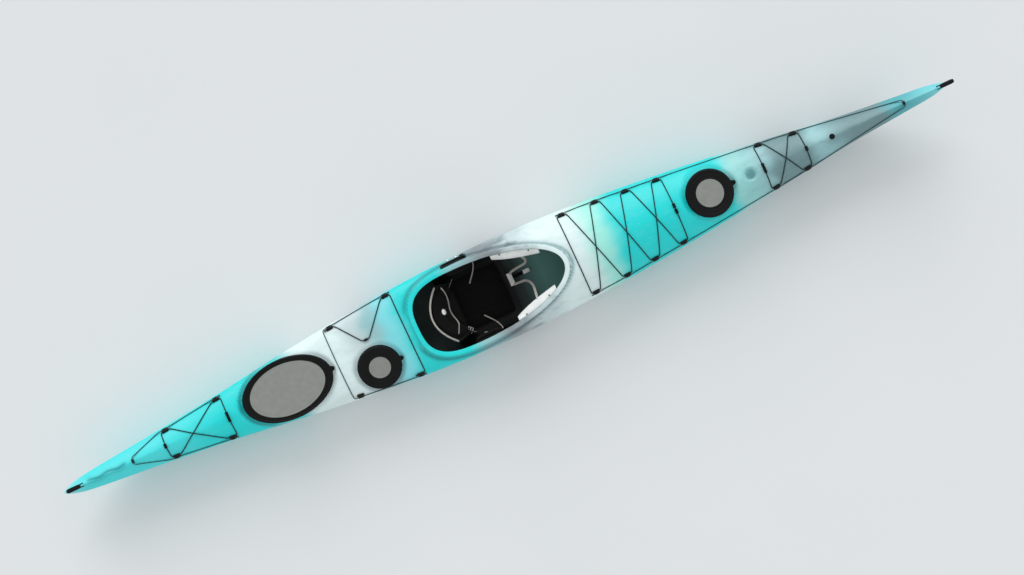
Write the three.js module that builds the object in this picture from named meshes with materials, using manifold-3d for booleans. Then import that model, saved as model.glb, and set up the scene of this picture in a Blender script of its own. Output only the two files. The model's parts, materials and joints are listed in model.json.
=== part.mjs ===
// Sit-in touring kayak, in millimetres: +X to the bow, +Y to port, +Z up.
// The origin is under the middle of the length, on the ground that the keel rests on.
// A place is a share of the overall length, counted from the stern tip.
import * as THREE from "three";
import { mergeVertices } from "three/addons/utils/BufferGeometryUtils.js";
import Module from "manifold-3d";

const wasm = await Module();
wasm.setup();

// Hull and deck form
const overallLength = 5180;
const bowOverhang = 41;
const beam = 534;
const shellWall = 5.5;
const sheerHeight = 185;
const foredeckHeight = 338;
const sternStemHeight = 235;
const sternRake = 1300;
const bowStemHeight = 305;
const bowRake = 1500;
const solidTipLength = 60;
const tipStationGap = 12;
const keelFlat = 22;
const stationCount = 29;
const hullSteps = 5;
const deckSteps = 5;

// Clearances between neighbouring pieces
const seatGap = 0.3;
const runningGap = 0.6;
const pinSides = 10;
const weldDistance = 0.0001;
const cutOverrun = 60;

// Cockpit coaming
const coamingRearPlaceShare = 0.4;
const coamingWidePlaceShare = 0.455;
const coamingFrontPlaceShare = 0.563;
const coamingHalfWidth = 205;
const coamingWall = 5;
const coamingRise = 24;
const coamingDrop = 12;
const coamingLip = 20;
const coamingLipThickness = 5;
const coamingFlange = 12;
const coamingFlangeThickness = 3;
const coamingSteps = 32;

// Hatches: rim, rubber cover and stiff plate
const ovalSegments = 18;
const seatMargin = 6;
const seatFlankReach = 60;
const seatFlankFlare = 6;
const recessFlare = 15;
const rimMouthInset = 22;
const rimWall = 5;
const rimFlange = 19;
const rimFlangeThickness = 4;
const rimDrop = 8;
const rimHeight = 15;
const coverSkirt = 6;
const coverSkirtDrop = 10;
const coverHeight = 9;
const coverWeb = 3.2;
const coverShoulder = 3;
const coverCrownInset = 11;
const plateThickness = 3;
const tabLength = 22;
const tabWidth = 30;
const tabThickness = 4;
const tabSegments = 5;

const sternHatchPlaceShare = 0.252;
const sternHatchLong = 254;
const sternHatchWide = 162;
const sternPlateLong = 211;
const sternPlateWide = 136;
const sternSeatLift = 7;
const dayHatchPlaceShare = 0.347;
const dayHatchOffset = -100;
const dayHatchRadius = 118;
const dayPlateRadius = 59;
const daySeatLift = -2;
const bowHatchPlaceShare = 0.728;
const bowHatchRadius = 128;
const bowPlateRadius = 75;
const bowSeatLift = 7;
const drainPlaceShare = 0.865;
const drainCapRadius = 15;
const drainCapHeight = 6;
const drainStemRadius = 9;
const drainStemDrop = 14;
const drainSides = 12;

// Bulkheads
const bulkheadThickness = 8;
const sternBulkheadPlaceShare = 0.31;
const cockpitBulkheadPlaceShare = 0.391;
const bowBulkheadPlaceShare = 0.695;

// Seams of the deck, which is kept in lengths
const deckSeamPlaceShares = [0.312, 0.3765, 0.635];

// Skeg
const skegBoxAftPlaceShare = 0.128;
const skegBoxLength = 336;
const skegBoxWidth = 22;
const skegBoxTop = 175;
const skegBoxWall = 3;
const skegBladeThickness = 8;
const skegBladeLength = 285;
const skegBladeHeight = 110;
const skegPivotInset = 43;
const skegPivotHeight = 38;
const skegPinRadius = 4;
const skegCableDiameter = 8;
const cableSides = 8;
const sliderPlaceShare = 0.4605;
const sliderSideShare = 0.91;
const sliderLength = 150;
const sliderWidth = 22;
const sliderHeight = 8;
const sliderGroove = 9;
const sliderGrooveDepth = 5;
const sliderTravel = 110;
const knobLength = 24;
const knobWidth = 16;
const knobHeight = 12;

// Seat, backrest and pads
const seatAftPlaceShare = 0.432;
const seatLength = 378;
const seatHalfWidth = 198;
const seatFloor = 30;
const seatBucket = 70;
const seatFrontRise = 24;
const seatWall = 4;
const bucketPower = 4;
const frontRisePower = 3;
const seatGrid = [5, 10];
const seatPadInset = 26;
const seatPadThickness = 26;
const seatPadCrown = 9;
const seatPadEdge = 8;
const channelDepth = 5;
const channelWidth = 14;
const seatChannelShare = 0.33;
const backChannelShare = 0.42;
const padSidePower = 6;
const padEndPower = 4;
const seatPadGrid = [8, 12];
const skidWidth = 14;
const skidSpread = 70;
const cheekAftPlaceShare = 0.446;
const cheekLength = 170;
const cheekThickness = 5;
const cheekTop = 268;
const cheekBottom = 92;
const cheekBossLength = 30;
const cheekBossHeight = 24;
const hipPadThickness = 20;
const hipPadLength = 150;
const hipPadHeight = 84;
const hipPadBase = 126;
const hipPadEdge = 7;
const hipPadGrid = [6, 4];
const backrestPivotInset = 34;
const backrestPivotHeight = 66;
const backrestHeight = 180;
const backrestBottomHalf = 135;
const backrestTopHalf = 165;
const backrestWrap = 85;
const backrestLean = 110;
const backrestLeanPower = 1.2;
const backrestGrid = [8, 4];
const backrestPadGrid = [12, 5];
const backrestWall = 4;
const backrestPadThickness = 24;
const backrestPadEdge = 6;
const backrestSideDrop = 45;
const backrestSideLift = 30;
const backrestClear = 10;
const backrestPinRadius = 4;
const lugOffset = 96;
const lugThickness = 8;
const lugRadius = 11;
const lugLength = 38;
const lugHeight = 28;
const strapWidth = 22;
const strapThickness = 2;
const strapBase = 101;
const strapLength = 110;
const strapReach = 38;
const strapGrid = [6, 1];
const thighAftPlaceShare = 0.497;
const thighForePlaceShare = 0.545;
const thighReach = 42;
const thighThickness = 8;
const thighDrop = 14;
const thighHang = 18;
const thighStartShare = 0.12;
const thighSpanShare = 0.76;
const thighCurve = 0.6;
const thighGrid = [6, 3];

// Foot braces
const railBulkheadGap = 73.1;
const railLength = 415;
const railHeight = 26;
const railDepth = 10;
const railLevel = 150;
const railSideGap = 16;
const railTooth = 3;
const railToothPitch = 36;
const spacerLength = 26;
const pedalWidth = 90;
const pedalHeight = 130;
const pedalThickness = 10;
const pedalHousingLength = 60;
const pedalRestShare = 0.45;

// Deck rigging
const bungeeDiameter = 6;
const lineDiameter = 5;
const cordSides = 5;
const cordLift = 1.5;
const cordBend = 9;
const fittingLength = 40;
const fittingWidth = 25;
const fittingHeight = 13;
const fittingFoot = 0.7;
const fittingRound = 5;
const fittingSegments = 2;
const footShares = [-0.5, -0.25, 0, 0.25, 0.5];
const boreSpread = 6.2;
const boreLevel = 7;
const boreSides = 6;
const boreSlack = 0.9;
const standOff = 2.5;
const beadRadius = 9;
const beadLength = 26;
const longBeadLength = 56;
const knotRadius = 6;
const bluntShare = 0.55;
const beadSides = 8;
const padeyeLength = 26;
const padeyeWidth = 14;
const hookPlaceShare = 0.346;
const hookOffset = 62;
const bowPadeyePlaceShare = 0.945;
const sternPadeyePlaceShare = 0.078;
const acrossLead = 34;
const bungeeStep = 140;
const lineStep = 260;
const stepRounding = 1e-9;
const crossingReach = 45;
const foreBeadOffset = -12;
const bulgeShares = [0.125, 0.25, 0.375, 0.5, 0.625, 0.75, 0.875];
const beadSpacing = 32;

// Carrying toggles at the ends
const toggleLength = 80;
const toggleLead = 12;
const toggleWidth = 24;
const toggleThickness = 14;
const togglePivotLift = 11;
const togglePinRadius = 4;
const bossThickness = 9;
const bossRadius = 10;
const forkThickness = 5;
const sternTogglePivotInset = 112;
const forkRadius = 7;

const halfBeam = beam / 2;
const hullEndShare = 1 - bowOverhang / overallLength;

// Tables of [place, share]: of the half beam, of the sheer height at mid length and of the foredeck height
const halfBeamShares = [
  [0, 0.035],
  [0.01, 0.1],
  [0.02, 0.148],
  [0.045, 0.208],
  [0.1, 0.31],
  [0.18, 0.478],
  [0.26, 0.685],
  [0.34, 0.855],
  [0.42, 0.966],
  [0.5, 1],
  [0.56, 0.962],
  [0.64, 0.85],
  [0.72, 0.69],
  [0.8, 0.5],
  [0.88, 0.3],
  [0.94, 0.184],
  [0.975, 0.118],
  [0.992, 0.04],
];
const sheerShares = [
  [0, 1.42],
  [0.1, 1.27],
  [0.2, 1.13],
  [0.35, 1.02],
  [0.5, 1],
  [0.65, 1.05],
  [0.8, 1.24],
  [0.9, 1.47],
  [0.992, 1.82],
];
const deckShares = [
  [0, 0.888],
  [0.1, 0.852],
  [0.2, 0.814],
  [0.3, 0.775],
  [0.385, 0.76],
  [0.46, 0.858],
  [0.565, 1],
  [0.62, 0.976],
  [0.73, 0.935],
  [0.8, 0.945],
  [0.9, 0.993],
  [0.97, 1.053],
  [0.992, 1.071],
];
// How full the section is: a superellipse exponent, 1 for a flat V and more for a boxy bilge or crown
const bilgeFullnessShares = [
  [0, 1.15],
  [0.1, 1.4],
  [0.25, 2],
  [0.5, 2.7],
  [0.75, 2],
  [0.9, 1.4],
  [0.992, 1.15],
];
const crownFullnessShares = [
  [0, 1.2],
  [0.15, 1.45],
  [0.3, 1.9],
  [0.4, 2.3],
  [0.5, 2.2],
  [0.58, 1.8],
  [0.7, 1.6],
  [0.85, 1.4],
  [0.992, 1.2],
];
const keelFlatShare = 0.3;
const stemCurve = 4.5;
const coamingRearFullness = 3;
const coamingFrontFullness = 2.05;

// Materials, with the colours of the photograph
const paint = (color, roughness, metalness = 0) =>
  new THREE.MeshStandardMaterial({ color, roughness, metalness });
const turquoisePlastic = paint(0x45cdd6, 0.35);
const palePlastic = paint(0xd9eeee, 0.35);
const blackRubber = paint(0x131416, 0.75);
const blackPlastic = paint(0x1a1b1d, 0.5);
const greyPlate = paint(0x8c8b87, 0.55);
const foamGrey = paint(0x4b5154, 0.9);
const seatFabric = paint(0x16181a, 0.95);
const darkCord = paint(0x202a2c, 0.85);
const paleBrace = paint(0xb9c6c6, 0.6);
const stainless = paint(0xb9bdc0, 0.3, 1);

// The value of a table at a place, on one smooth curve through its points
function smoothShare(table, place) {
  const last = table.length - 1;
  if (place <= table[0][0]) return table[0][1];
  if (place >= table[last][0]) return table[last][1];
  let i = 0;
  while (place > table[i + 1][0]) i++;
  const slope = (a, b) => (table[b][1] - table[a][1]) / (table[b][0] - table[a][0]);
  const tangent = (k) => slope(Math.max(k - 1, 0), Math.min(k + 1, last));
  const span = table[i + 1][0] - table[i][0];
  const t = (place - table[i][0]) / span;
  const start = (2 * t ** 3 - 3 * t ** 2 + 1) * table[i][1];
  const end = (3 * t ** 2 - 2 * t ** 3) * table[i + 1][1];
  const leave = (t ** 3 - 2 * t ** 2 + t) * span * tangent(i);
  const arrive = (t ** 3 - t ** 2) * span * tangent(i + 1);
  return start + leave + end + arrive;
}

const xAt = (place) => (place - 0.5) * overallLength;
const placeAt = (x) => x / overallLength + 0.5;
const halfBeamAt = (place) => halfBeam * smoothShare(halfBeamShares, place);
const sheerAt = (place) => sheerHeight * smoothShare(sheerShares, place);
const deckAt = (place) => foredeckHeight * smoothShare(deckShares, place);

// Height of the keel: it lies on the ground amidships and rises to the stems
function keelAt(place) {
  const fromStern = place * overallLength;
  const fromBow = (hullEndShare - place) * overallLength;
  const sternRise = Math.max(0, 1 - fromStern / sternRake) ** stemCurve;
  const bowRise = Math.max(0, 1 - fromBow / bowRake) ** stemCurve;
  return sternStemHeight * sternRise + bowStemHeight * bowRise;
}

// Stations crowd towards the fine ends
const stationPlaces = Array.from({ length: stationCount }, (_, i) => {
  const even = i / (stationCount - 1);
  const crowded = (1 - Math.cos(Math.PI * even)) / 2;
  return (hullEndShare * (even + crowded)) / 2;
});

// The deck's half section at a place, from the gunwale to the centre line, as [y, z]
function deckProfile(place, inset = 0) {
  const half = halfBeamAt(place) - inset;
  const sheer = sheerAt(place);
  const rise = deckAt(place) - inset - sheer;
  const power = 2 / smoothShare(crownFullnessShares, place);
  return Array.from({ length: deckSteps + 1 }, (_, k) => {
    const angle = (Math.PI / 2) * (k / deckSteps);
    const out = k === deckSteps ? 0 : Math.cos(angle) ** power;
    return [half * out, sheer + rise * Math.sin(angle) ** power];
  });
}
const stationProfiles = stationPlaces.map((place) => deckProfile(place));

// Height of the deck's outer facets over a point of the plan
function deckSurface(x, y) {
  const place = Math.min(Math.max(placeAt(x), 0), hullEndShare);
  const i = Math.min(stationCount - 2, stationPlaces.findLastIndex((station) => station <= place));
  const share = (place - stationPlaces[i]) / (stationPlaces[i + 1] - stationPlaces[i]);
  const profile = stationProfiles[i].map(([out, up], k) => {
    const [nextOut, nextUp] = stationProfiles[i + 1][k];
    return [out + (nextOut - out) * share, up + (nextUp - up) * share];
  });
  const out = Math.min(Math.abs(y), profile[0][0]);
  const k = Math.min(deckSteps - 1, profile.findLastIndex(([edge]) => edge >= out));
  const [[y0, z0], [y1, z1]] = [profile[k], profile[k + 1]];
  return z0 + ((z1 - z0) * (y0 - out)) / (y0 - y1);
}

// Half width of the hull's outer surface at a height below the sheer
function hullHalfAt(place, height) {
  const fullness = smoothShare(bilgeFullnessShares, place);
  const half = halfBeamAt(place);
  const flat = Math.min(keelFlat, keelFlatShare * half);
  const down = (sheerAt(place) - height) / (sheerAt(place) - keelAt(place));
  return flat + (half - flat) * (1 - down ** fullness) ** (1 / fullness);
}

// A closed surface from triangles, turned so that its faces point out
function closedGeometry(points, faces) {
  const positions = new Float32Array(points.length * 3);
  points.forEach((point, i) => point.toArray(positions, i * 3));
  let volume = 0;
  for (let i = 0; i < faces.length; i += 3) {
    const [a, b, c] = [points[faces[i]], points[faces[i + 1]], points[faces[i + 2]]];
    volume += a.dot(b.clone().cross(c));
  }
  if (volume < 0) faces.reverse();
  return new THREE.BufferGeometry()
    .setAttribute("position", new THREE.BufferAttribute(positions, 3))
    .setIndex(faces);
}

// Joins rings of equal count into one skin, with a fan over each end unless the rings close on themselves
function loft(rings, closed = false) {
  const size = rings[0].length;
  const points = rings.flat();
  const faces = [];
  const spans = closed ? rings.length : rings.length - 1;
  for (let i = 0; i < spans; i++) {
    const here = i * size;
    const next = ((i + 1) % rings.length) * size;
    for (let j = 0; j < size; j++) {
      const k = (j + 1) % size;
      faces.push(here + j, here + k, next + k);
      faces.push(here + j, next + k, next + j);
    }
  }
  if (closed) return closedGeometry(points, faces);
  for (const [ring, first] of [[0, true], [rings.length - 1, false]]) {
    const centre = new THREE.Vector3();
    rings[ring].forEach((point) => centre.addScaledVector(point, 1 / size));
    const hub = points.push(centre) - 1;
    for (let j = 0; j < size; j++) {
      const a = ring * size + j;
      const b = ring * size + ((j + 1) % size);
      if (first) faces.push(hub, b, a);
      else faces.push(hub, a, b);
    }
  }
  return closedGeometry(points, faces);
}

// A closed slab between two surfaces over the same grid of u and v, both from 0 to 1
function slabBetween(front, back, columns, rows) {
  const rings = [];
  for (let i = 0; i <= columns; i++) {
    const ring = [];
    for (let j = 0; j <= rows; j++) ring.push(front(i / columns, j / rows));
    for (let j = rows; j >= 0; j--) ring.push(back(i / columns, j / rows));
    rings.push(ring);
  }
  const points = rings.flat();
  const size = rings[0].length;
  const faces = [];
  for (let i = 0; i < columns; i++) {
    for (let j = 0; j < size; j++) {
      const k = (j + 1) % size;
      faces.push(i * size + j, i * size + k, (i + 1) * size + k);
      faces.push(i * size + j, (i + 1) * size + k, (i + 1) * size + j);
    }
  }
  for (const [i, first] of [[0, true], [columns, false]]) {
    for (let j = 0; j < rows; j++) {
      const [a, b] = [i * size + j, i * size + j + 1];
      const [c, d] = [i * size + size - 2 - j, i * size + size - 1 - j];
      if (first) faces.push(a, c, b, a, d, c);
      else faces.push(a, b, c, a, c, d);
    }
  }
  return closedGeometry(points, faces);
}

function solidOf(geometry) {
  const source = geometry.index ? geometry.toNonIndexed() : geometry;
  const bare = new THREE.BufferGeometry().setAttribute("position", source.getAttribute("position"));
  const merged = mergeVertices(bare, weldDistance);
  const triVerts = new Uint32Array(merged.index.array);
  const vertProperties = merged.attributes.position.array;
  return new wasm.Manifold(new wasm.Mesh({ numProp: 3, vertProperties, triVerts }));
}

function geometryOf(solid) {
  const mesh = solid.getMesh();
  const geometry = new THREE.BufferGeometry();
  geometry.setAttribute("position", new THREE.BufferAttribute(mesh.vertProperties, 3));
  geometry.setIndex(new THREE.BufferAttribute(mesh.triVerts, 1));
  geometry.computeVertexNormals();
  return geometry;
}

const joined = (solids) => solids.reduce((sum, next) => sum.add(next));
const placed = (geometry, matrix) => geometry.clone().applyMatrix4(matrix);

function piece(name, shape, material) {
  const geometry = shape.isBufferGeometry ? shape : geometryOf(shape);
  const mesh = new THREE.Mesh(geometry, material);
  mesh.name = name;
  return mesh;
}

function groupOf(...members) {
  const group = new THREE.Group();
  group.add(...members);
  return group;
}

// A box between two corners
function boxBetween(x0, x1, y0, y1, z0, z1) {
  const box = new THREE.BoxGeometry(x1 - x0, y1 - y0, z1 - z0);
  return box.translate((x0 + x1) / 2, (y0 + y1) / 2, (z0 + z1) / 2);
}

// A cylinder about a line along Y
function crossPin(x, z, radius, y0, y1, sides = pinSides) {
  const pin = new THREE.CylinderGeometry(radius, radius, y1 - y0, sides);
  return pin.translate(x, (y0 + y1) / 2, z);
}

// A stack of ovals, each [half length, half width, height], capped flat at both ends
function ovalStack(levels, segments = ovalSegments) {
  const rings = levels.map(([long, wide, height]) =>
    Array.from({ length: segments }, (_, i) => {
      const angle = (2 * Math.PI * i) / segments;
      return new THREE.Vector3(long * Math.cos(angle), wide * Math.sin(angle), height);
    }),
  );
  return loft(rings);
}

// A ring of constant profile round an oval: the profile is [inset from the oval, height]
function ovalRing(profile, long, wide) {
  const rings = Array.from({ length: ovalSegments }, (_, i) => {
    const angle = (2 * Math.PI * i) / ovalSegments;
    return profile.map(
      ([inset, height]) =>
        new THREE.Vector3((long - inset) * Math.cos(angle), (wide - inset) * Math.sin(angle), height),
    );
  });
  return loft(rings, true);
}

// Hull and deck skins

// One cross section, from the keel up the port side, over the deck and down the starboard side
function sectionRing(place, inset) {
  const x = xAt(place);
  const half = halfBeamAt(place) - inset;
  const flat = Math.min(keelFlat, keelFlatShare * half);
  const keel = keelAt(place) + inset;
  const sheer = sheerAt(place);
  const bilge = 2 / smoothShare(bilgeFullnessShares, place);
  const side = [];
  for (let k = 0; k < hullSteps; k++) {
    const angle = (Math.PI / 2) * (k / hullSteps);
    const out = flat + (half - flat) * Math.sin(angle) ** bilge;
    side.push([out, sheer - (sheer - keel) * Math.cos(angle) ** bilge]);
  }
  side.push(...deckProfile(place, inset));
  const port = side.map(([y, z]) => new THREE.Vector3(x, y, z));
  const starboard = side.slice(0, -1).map(([y, z]) => new THREE.Vector3(x, -y, z));
  return [...port, ...starboard.reverse()];
}

const tipShare = solidTipLength / overallLength;
const clearTipShare = (solidTipLength + tipStationGap) / overallLength;
const innerPlaces = [
  tipShare,
  ...stationPlaces.filter((place) => place > clearTipShare && place < hullEndShare - clearTipShare),
  hullEndShare - tipShare,
];

const hullForm = (places, inset) => solidOf(loft(places.map((place) => sectionRing(place, inset))));

// Everything below the sheer line, moved up or down by a shift
function belowSheer(shift) {
  const rings = stationPlaces.map((place, i) => {
    const end = i === 0 ? -cutOverrun : i === stationCount - 1 ? cutOverrun : 0;
    const x = xAt(place) + end;
    const top = sheerAt(place) + shift;
    return [
      new THREE.Vector3(x, beam, -cutOverrun),
      new THREE.Vector3(x, beam, top),
      new THREE.Vector3(x, -beam, top),
      new THREE.Vector3(x, -beam, -cutOverrun),
    ];
  });
  return solidOf(loft(rings));
}

// A flat seat let into the crowned deck, on its own tilted frame
function deckSeat(place, offset, long, wide, lift) {
  const x = xAt(place);
  const reachLong = long + seatMargin;
  const reachWide = wide + seatMargin;
  const fore = deckSurface(x + reachLong, offset);
  const aft = deckSurface(x - reachLong, offset);
  const port = deckSurface(x, offset + reachWide);
  const starboard = deckSurface(x, offset - reachWide);
  const pitch = -Math.atan2(fore - aft, 2 * reachLong);
  const roll = Math.atan2(port - starboard, 2 * reachWide);
  const height = (fore + aft + port + starboard) / 4 + lift;
  const turn = new THREE.Quaternion().setFromEuler(new THREE.Euler(roll, pitch, 0, "ZYX"));
  const frame = new THREE.Matrix4().compose(
    new THREE.Vector3(x, offset, height),
    turn,
    new THREE.Vector3(1, 1, 1),
  );
  return { frame, long: reachLong, wide: reachWide };
}

const sternSeat = deckSeat(sternHatchPlaceShare, 0, sternHatchLong, sternHatchWide, sternSeatLift);
const daySeat = deckSeat(dayHatchPlaceShare, dayHatchOffset, dayHatchRadius, dayHatchRadius, daySeatLift);
const bowSeat = deckSeat(bowHatchPlaceShare, 0, bowHatchRadius, bowHatchRadius, bowSeatLift);
const deckSeats = [sternSeat, daySeat, bowSeat];

// The space above a seat, and the body below it, each moved in by an inset
function seatRecess({ frame, long, wide }, grow) {
  const levels = [
    [long + grow, wide + grow, -grow],
    [long + grow + recessFlare, wide + grow + recessFlare, seatFlankReach],
  ];
  return solidOf(placed(ovalStack(levels), frame));
}

function seatBody({ frame, long, wide }, inset) {
  const levels = [
    [long - inset, wide - inset, -inset],
    [long - inset + seatFlankFlare, wide - inset + seatFlankFlare, -inset - seatFlankReach],
  ];
  return solidOf(placed(ovalStack(levels), frame));
}

const outerForm = hullForm(stationPlaces, 0);
const innerForm = hullForm(innerPlaces, shellWall);
const outerClearForm = hullForm(stationPlaces, -seatGap);
const innerClearForm = hullForm(innerPlaces, shellWall + seatGap);
const flankFloor = belowSheer(shellWall);
const lowerHalf = belowSheer(-seatGap / 2);
const seamHalf = belowSheer(seatGap / 2);

// The whole skin's outside and inside with the seats worked in, moved in by an inset
function seatedForm(form, inset) {
  let shape = form;
  for (const seat of deckSeats) {
    shape = shape.subtract(seatRecess(seat, inset));
    shape = shape.add(seatBody(seat, inset).subtract(flankFloor));
  }
  return shape;
}

// Cockpit coaming: an egg in plan, blunt behind and longer in front
const coamingWideX = xAt(coamingWidePlaceShare);
const coamingFrontLength = xAt(coamingFrontPlaceShare) - coamingWideX;
const coamingRearLength = coamingWideX - xAt(coamingRearPlaceShare);

const coamingOutline = Array.from({ length: coamingSteps }, (_, i) => {
  const angle = (2 * Math.PI * i) / coamingSteps;
  const front = Math.cos(angle) > 0;
  const power = 2 / (front ? coamingFrontFullness : coamingRearFullness);
  const length = front ? coamingFrontLength : -coamingRearLength;
  const x = coamingWideX + length * Math.abs(Math.cos(angle)) ** power;
  const y = coamingHalfWidth * Math.sign(Math.sin(angle)) * Math.abs(Math.sin(angle)) ** power;
  return new THREE.Vector2(x, y);
});

// The outline's point i, moved outward in plan
function coamingPoint(i, out) {
  const count = coamingOutline.length;
  const before = coamingOutline[(i + count - 1) % count];
  const after = coamingOutline[(i + 1) % count];
  const along = after.clone().sub(before).normalize();
  return coamingOutline[i].clone().add(new THREE.Vector2(along.y, -along.x).multiplyScalar(out));
}

function coamingPrism(out) {
  const ringAt = (height) =>
    coamingOutline.map((_, i) => {
      const point = coamingPoint(i, out);
      return new THREE.Vector3(point.x, point.y, height);
    });
  return solidOf(loft([ringAt(-cutOverrun), ringAt(foredeckHeight + beam)]));
}

function coamingRing(i) {
  const at = (out, rise, follow = out) => {
    const point = coamingPoint(i, out);
    const foot = coamingPoint(i, follow);
    return new THREE.Vector3(point.x, point.y, deckSurface(foot.x, foot.y) + rise);
  };
  const flangeEdge = coamingWall + coamingFlange;
  const lipEdge = coamingWall + coamingLip;
  return [
    at(0, -coamingDrop),
    at(coamingWall, -coamingDrop),
    at(flangeEdge, -coamingDrop / 2),
    at(flangeEdge, coamingFlangeThickness),
    at(coamingWall, coamingFlangeThickness),
    at(coamingWall, coamingRise - coamingLipThickness, 0),
    at(lipEdge, coamingRise - coamingLipThickness, 0),
    at(lipEdge, coamingRise, 0),
    at(0, coamingRise),
  ];
}

function makeCoaming() {
  const sweep = solidOf(loft(coamingOutline.map((_, i) => coamingRing(i)), true));
  const deckAround = outerClearForm.subtract(coamingPrism(coamingWall));
  return sweep.subtract(deckAround);
}

// Hatches
const hatchHole = ({ frame }, long, wide, inset, segments = ovalSegments) =>
  solidOf(
    placed(
      ovalStack([
        [long - inset, wide - inset, -seatFlankReach],
        [long - inset, wide - inset, seatFlankReach],
      ], segments),
      frame,
    ),
  );

function hatchRim(long, wide) {
  const mouth = rimMouthInset;
  const wallOut = mouth - rimWall;
  const flangeOut = wallOut - rimFlange;
  return ovalRing(
    [
      [mouth, -rimDrop],
      [wallOut, -rimDrop],
      [wallOut, seatGap],
      [flangeOut, seatGap],
      [flangeOut, seatGap + rimFlangeThickness],
      [wallOut, seatGap + rimFlangeThickness],
      [wallOut, rimHeight],
      [mouth, rimHeight],
    ],
    long,
    wide,
  );
}

// A pull tab at the cover's bow side
function pullTab(long, level) {
  const shape = new THREE.Shape();
  const tip = long + tabLength - tabWidth / 2;
  shape.moveTo(long - coverCrownInset, -tabWidth / 2);
  shape.lineTo(tip, -tabWidth / 2);
  shape.absarc(tip, 0, tabWidth / 2, -Math.PI / 2, Math.PI / 2, false);
  shape.lineTo(long - coverCrownInset, tabWidth / 2);
  const tab = new THREE.ExtrudeGeometry(shape, {
    depth: tabThickness,
    bevelEnabled: false,
    curveSegments: tabSegments,
  });
  return solidOf(tab.translate(0, 0, level));
}

function hatchCover(long, wide, plateLong, plateWide) {
  const under = rimHeight + seatGap;
  const skirt = under - coverSkirtDrop;
  const top = under + coverHeight;
  const floor = under + coverWeb;
  const body = ovalStack([
    [long - coverSkirt, wide - coverSkirt, under],
    [long - coverSkirt, wide - coverSkirt, skirt],
    [long, wide, skirt],
    [long, wide, top - coverShoulder * 2],
    [long - coverShoulder, wide - coverShoulder, top - coverShoulder],
    [long - coverCrownInset, wide - coverCrownInset, top],
    [plateLong + runningGap, plateWide + runningGap, floor + plateThickness],
    [plateLong + runningGap, plateWide + runningGap, floor],
  ]);
  return solidOf(body).add(pullTab(long, top - tabThickness));
}

function hatchPlate(plateLong, plateWide) {
  const base = rimHeight + seatGap + coverWeb + seatGap;
  return ovalStack([
    [plateLong, plateWide, base],
    [plateLong, plateWide, base + plateThickness / 2],
    [plateLong - plateThickness, plateWide - plateThickness, base + plateThickness],
  ]);
}

function hatchGroup(name, seat, long, wide, plateLong, plateWide) {
  const group = groupOf(
    piece(name + "_hatch_rim", hatchRim(long, wide), blackPlastic),
    piece(name + "_hatch_cover", hatchCover(long, wide, plateLong, plateWide), blackRubber),
    piece(name + "_hatch_plate", hatchPlate(plateLong, plateWide), greyPlate),
  );
  group.applyMatrix4(seat.frame);
  return group;
}

// Skeg
const skegAftX = xAt(skegBoxAftPlaceShare);
const skegForeX = skegAftX + skegBoxLength;
const skegPivotX = skegForeX - skegPivotInset;
const skegCavityHalf = skegBoxWidth / 2 - skegBoxWall;
const skegSlot = solidOf(
  boxBetween(
    skegAftX + skegBoxWall,
    skegForeX - skegBoxWall,
    -skegCavityHalf,
    skegCavityHalf,
    -cutOverrun,
    skegBoxTop - skegBoxWall,
  ),
);
const skegPinHole = solidOf(
  crossPin(skegPivotX, skegPivotHeight, skegPinRadius + runningGap, -skegBoxWidth, skegBoxWidth),
);

function makeSkegBox() {
  const half = skegBoxWidth / 2;
  const box = solidOf(boxBetween(skegAftX, skegForeX, -half, half, -cutOverrun, skegBoxTop));
  return box.intersect(innerClearForm).subtract(skegSlot).subtract(skegPinHole);
}

// The blade's outline about its pivot, from its root forward edge round by the aft tip: shares of its length
// aft of the pivot and of its height above it
const skegBladeShares = [
  [-0.05, -0.24],
  [0.95, -0.255],
  [1, 0.09],
  [0.7, 0.91],
  [0.35, 1],
  [0, 0.36],
  [-0.056, 0.09],
];

function makeSkegBlade() {
  const outline = skegBladeShares.map(
    ([aft, up]) => new THREE.Vector2(-aft * skegBladeLength, up * skegBladeHeight),
  );
  const shape = new THREE.Shape(outline);
  const blade = new THREE.ExtrudeGeometry(shape, { depth: skegBladeThickness, bevelEnabled: false });
  blade.rotateX(Math.PI / 2);
  blade.translate(skegPivotX, skegBladeThickness / 2, skegPivotHeight);
  return solidOf(blade).subtract(skegPinHole);
}

// How far the deck's facets stand above a frame's plane under the foot of a fitting
function deckRise(frame) {
  const rises = footShares.flatMap((along) =>
    footShares.map((across) => {
      const foot = new THREE.Vector3(along * fittingLength, across * fittingWidth, 0);
      const point = foot.applyMatrix4(frame);
      return deckSurface(point.x, point.y) - point.z;
    }),
  );
  return Math.max(0, ...rises);
}

// A frame on the deck at a place: roll, pitch and yaw follow the deck and the gunwale
function deckFrame(place, sideShare, side, offset = side * sideShare * halfBeamAt(place)) {
  const x = xAt(place);
  const reach = fittingWidth / 2;
  const across = deckSurface(x, offset + reach) - deckSurface(x, offset - reach);
  const ahead = placeAt(x + reach);
  const behind = placeAt(x - reach);
  const flare = side * sideShare * (halfBeamAt(ahead) - halfBeamAt(behind));
  const along = deckSurface(x + reach, offset + flare / 2) - deckSurface(x - reach, offset - flare / 2);
  const turn = new THREE.Euler(
    Math.atan2(across, 2 * reach),
    -Math.atan2(along, 2 * reach),
    Math.atan2(flare, 2 * reach),
    "ZYX",
  );
  const frame = new THREE.Matrix4().compose(
    new THREE.Vector3(x, offset, deckSurface(x, offset)),
    new THREE.Quaternion().setFromEuler(turn),
    new THREE.Vector3(1, 1, 1),
  );
  return new THREE.Matrix4().makeTranslation(0, 0, deckRise(frame)).multiply(frame);
}

const sliderFrame = deckFrame(sliderPlaceShare, sliderSideShare, 1);

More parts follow.
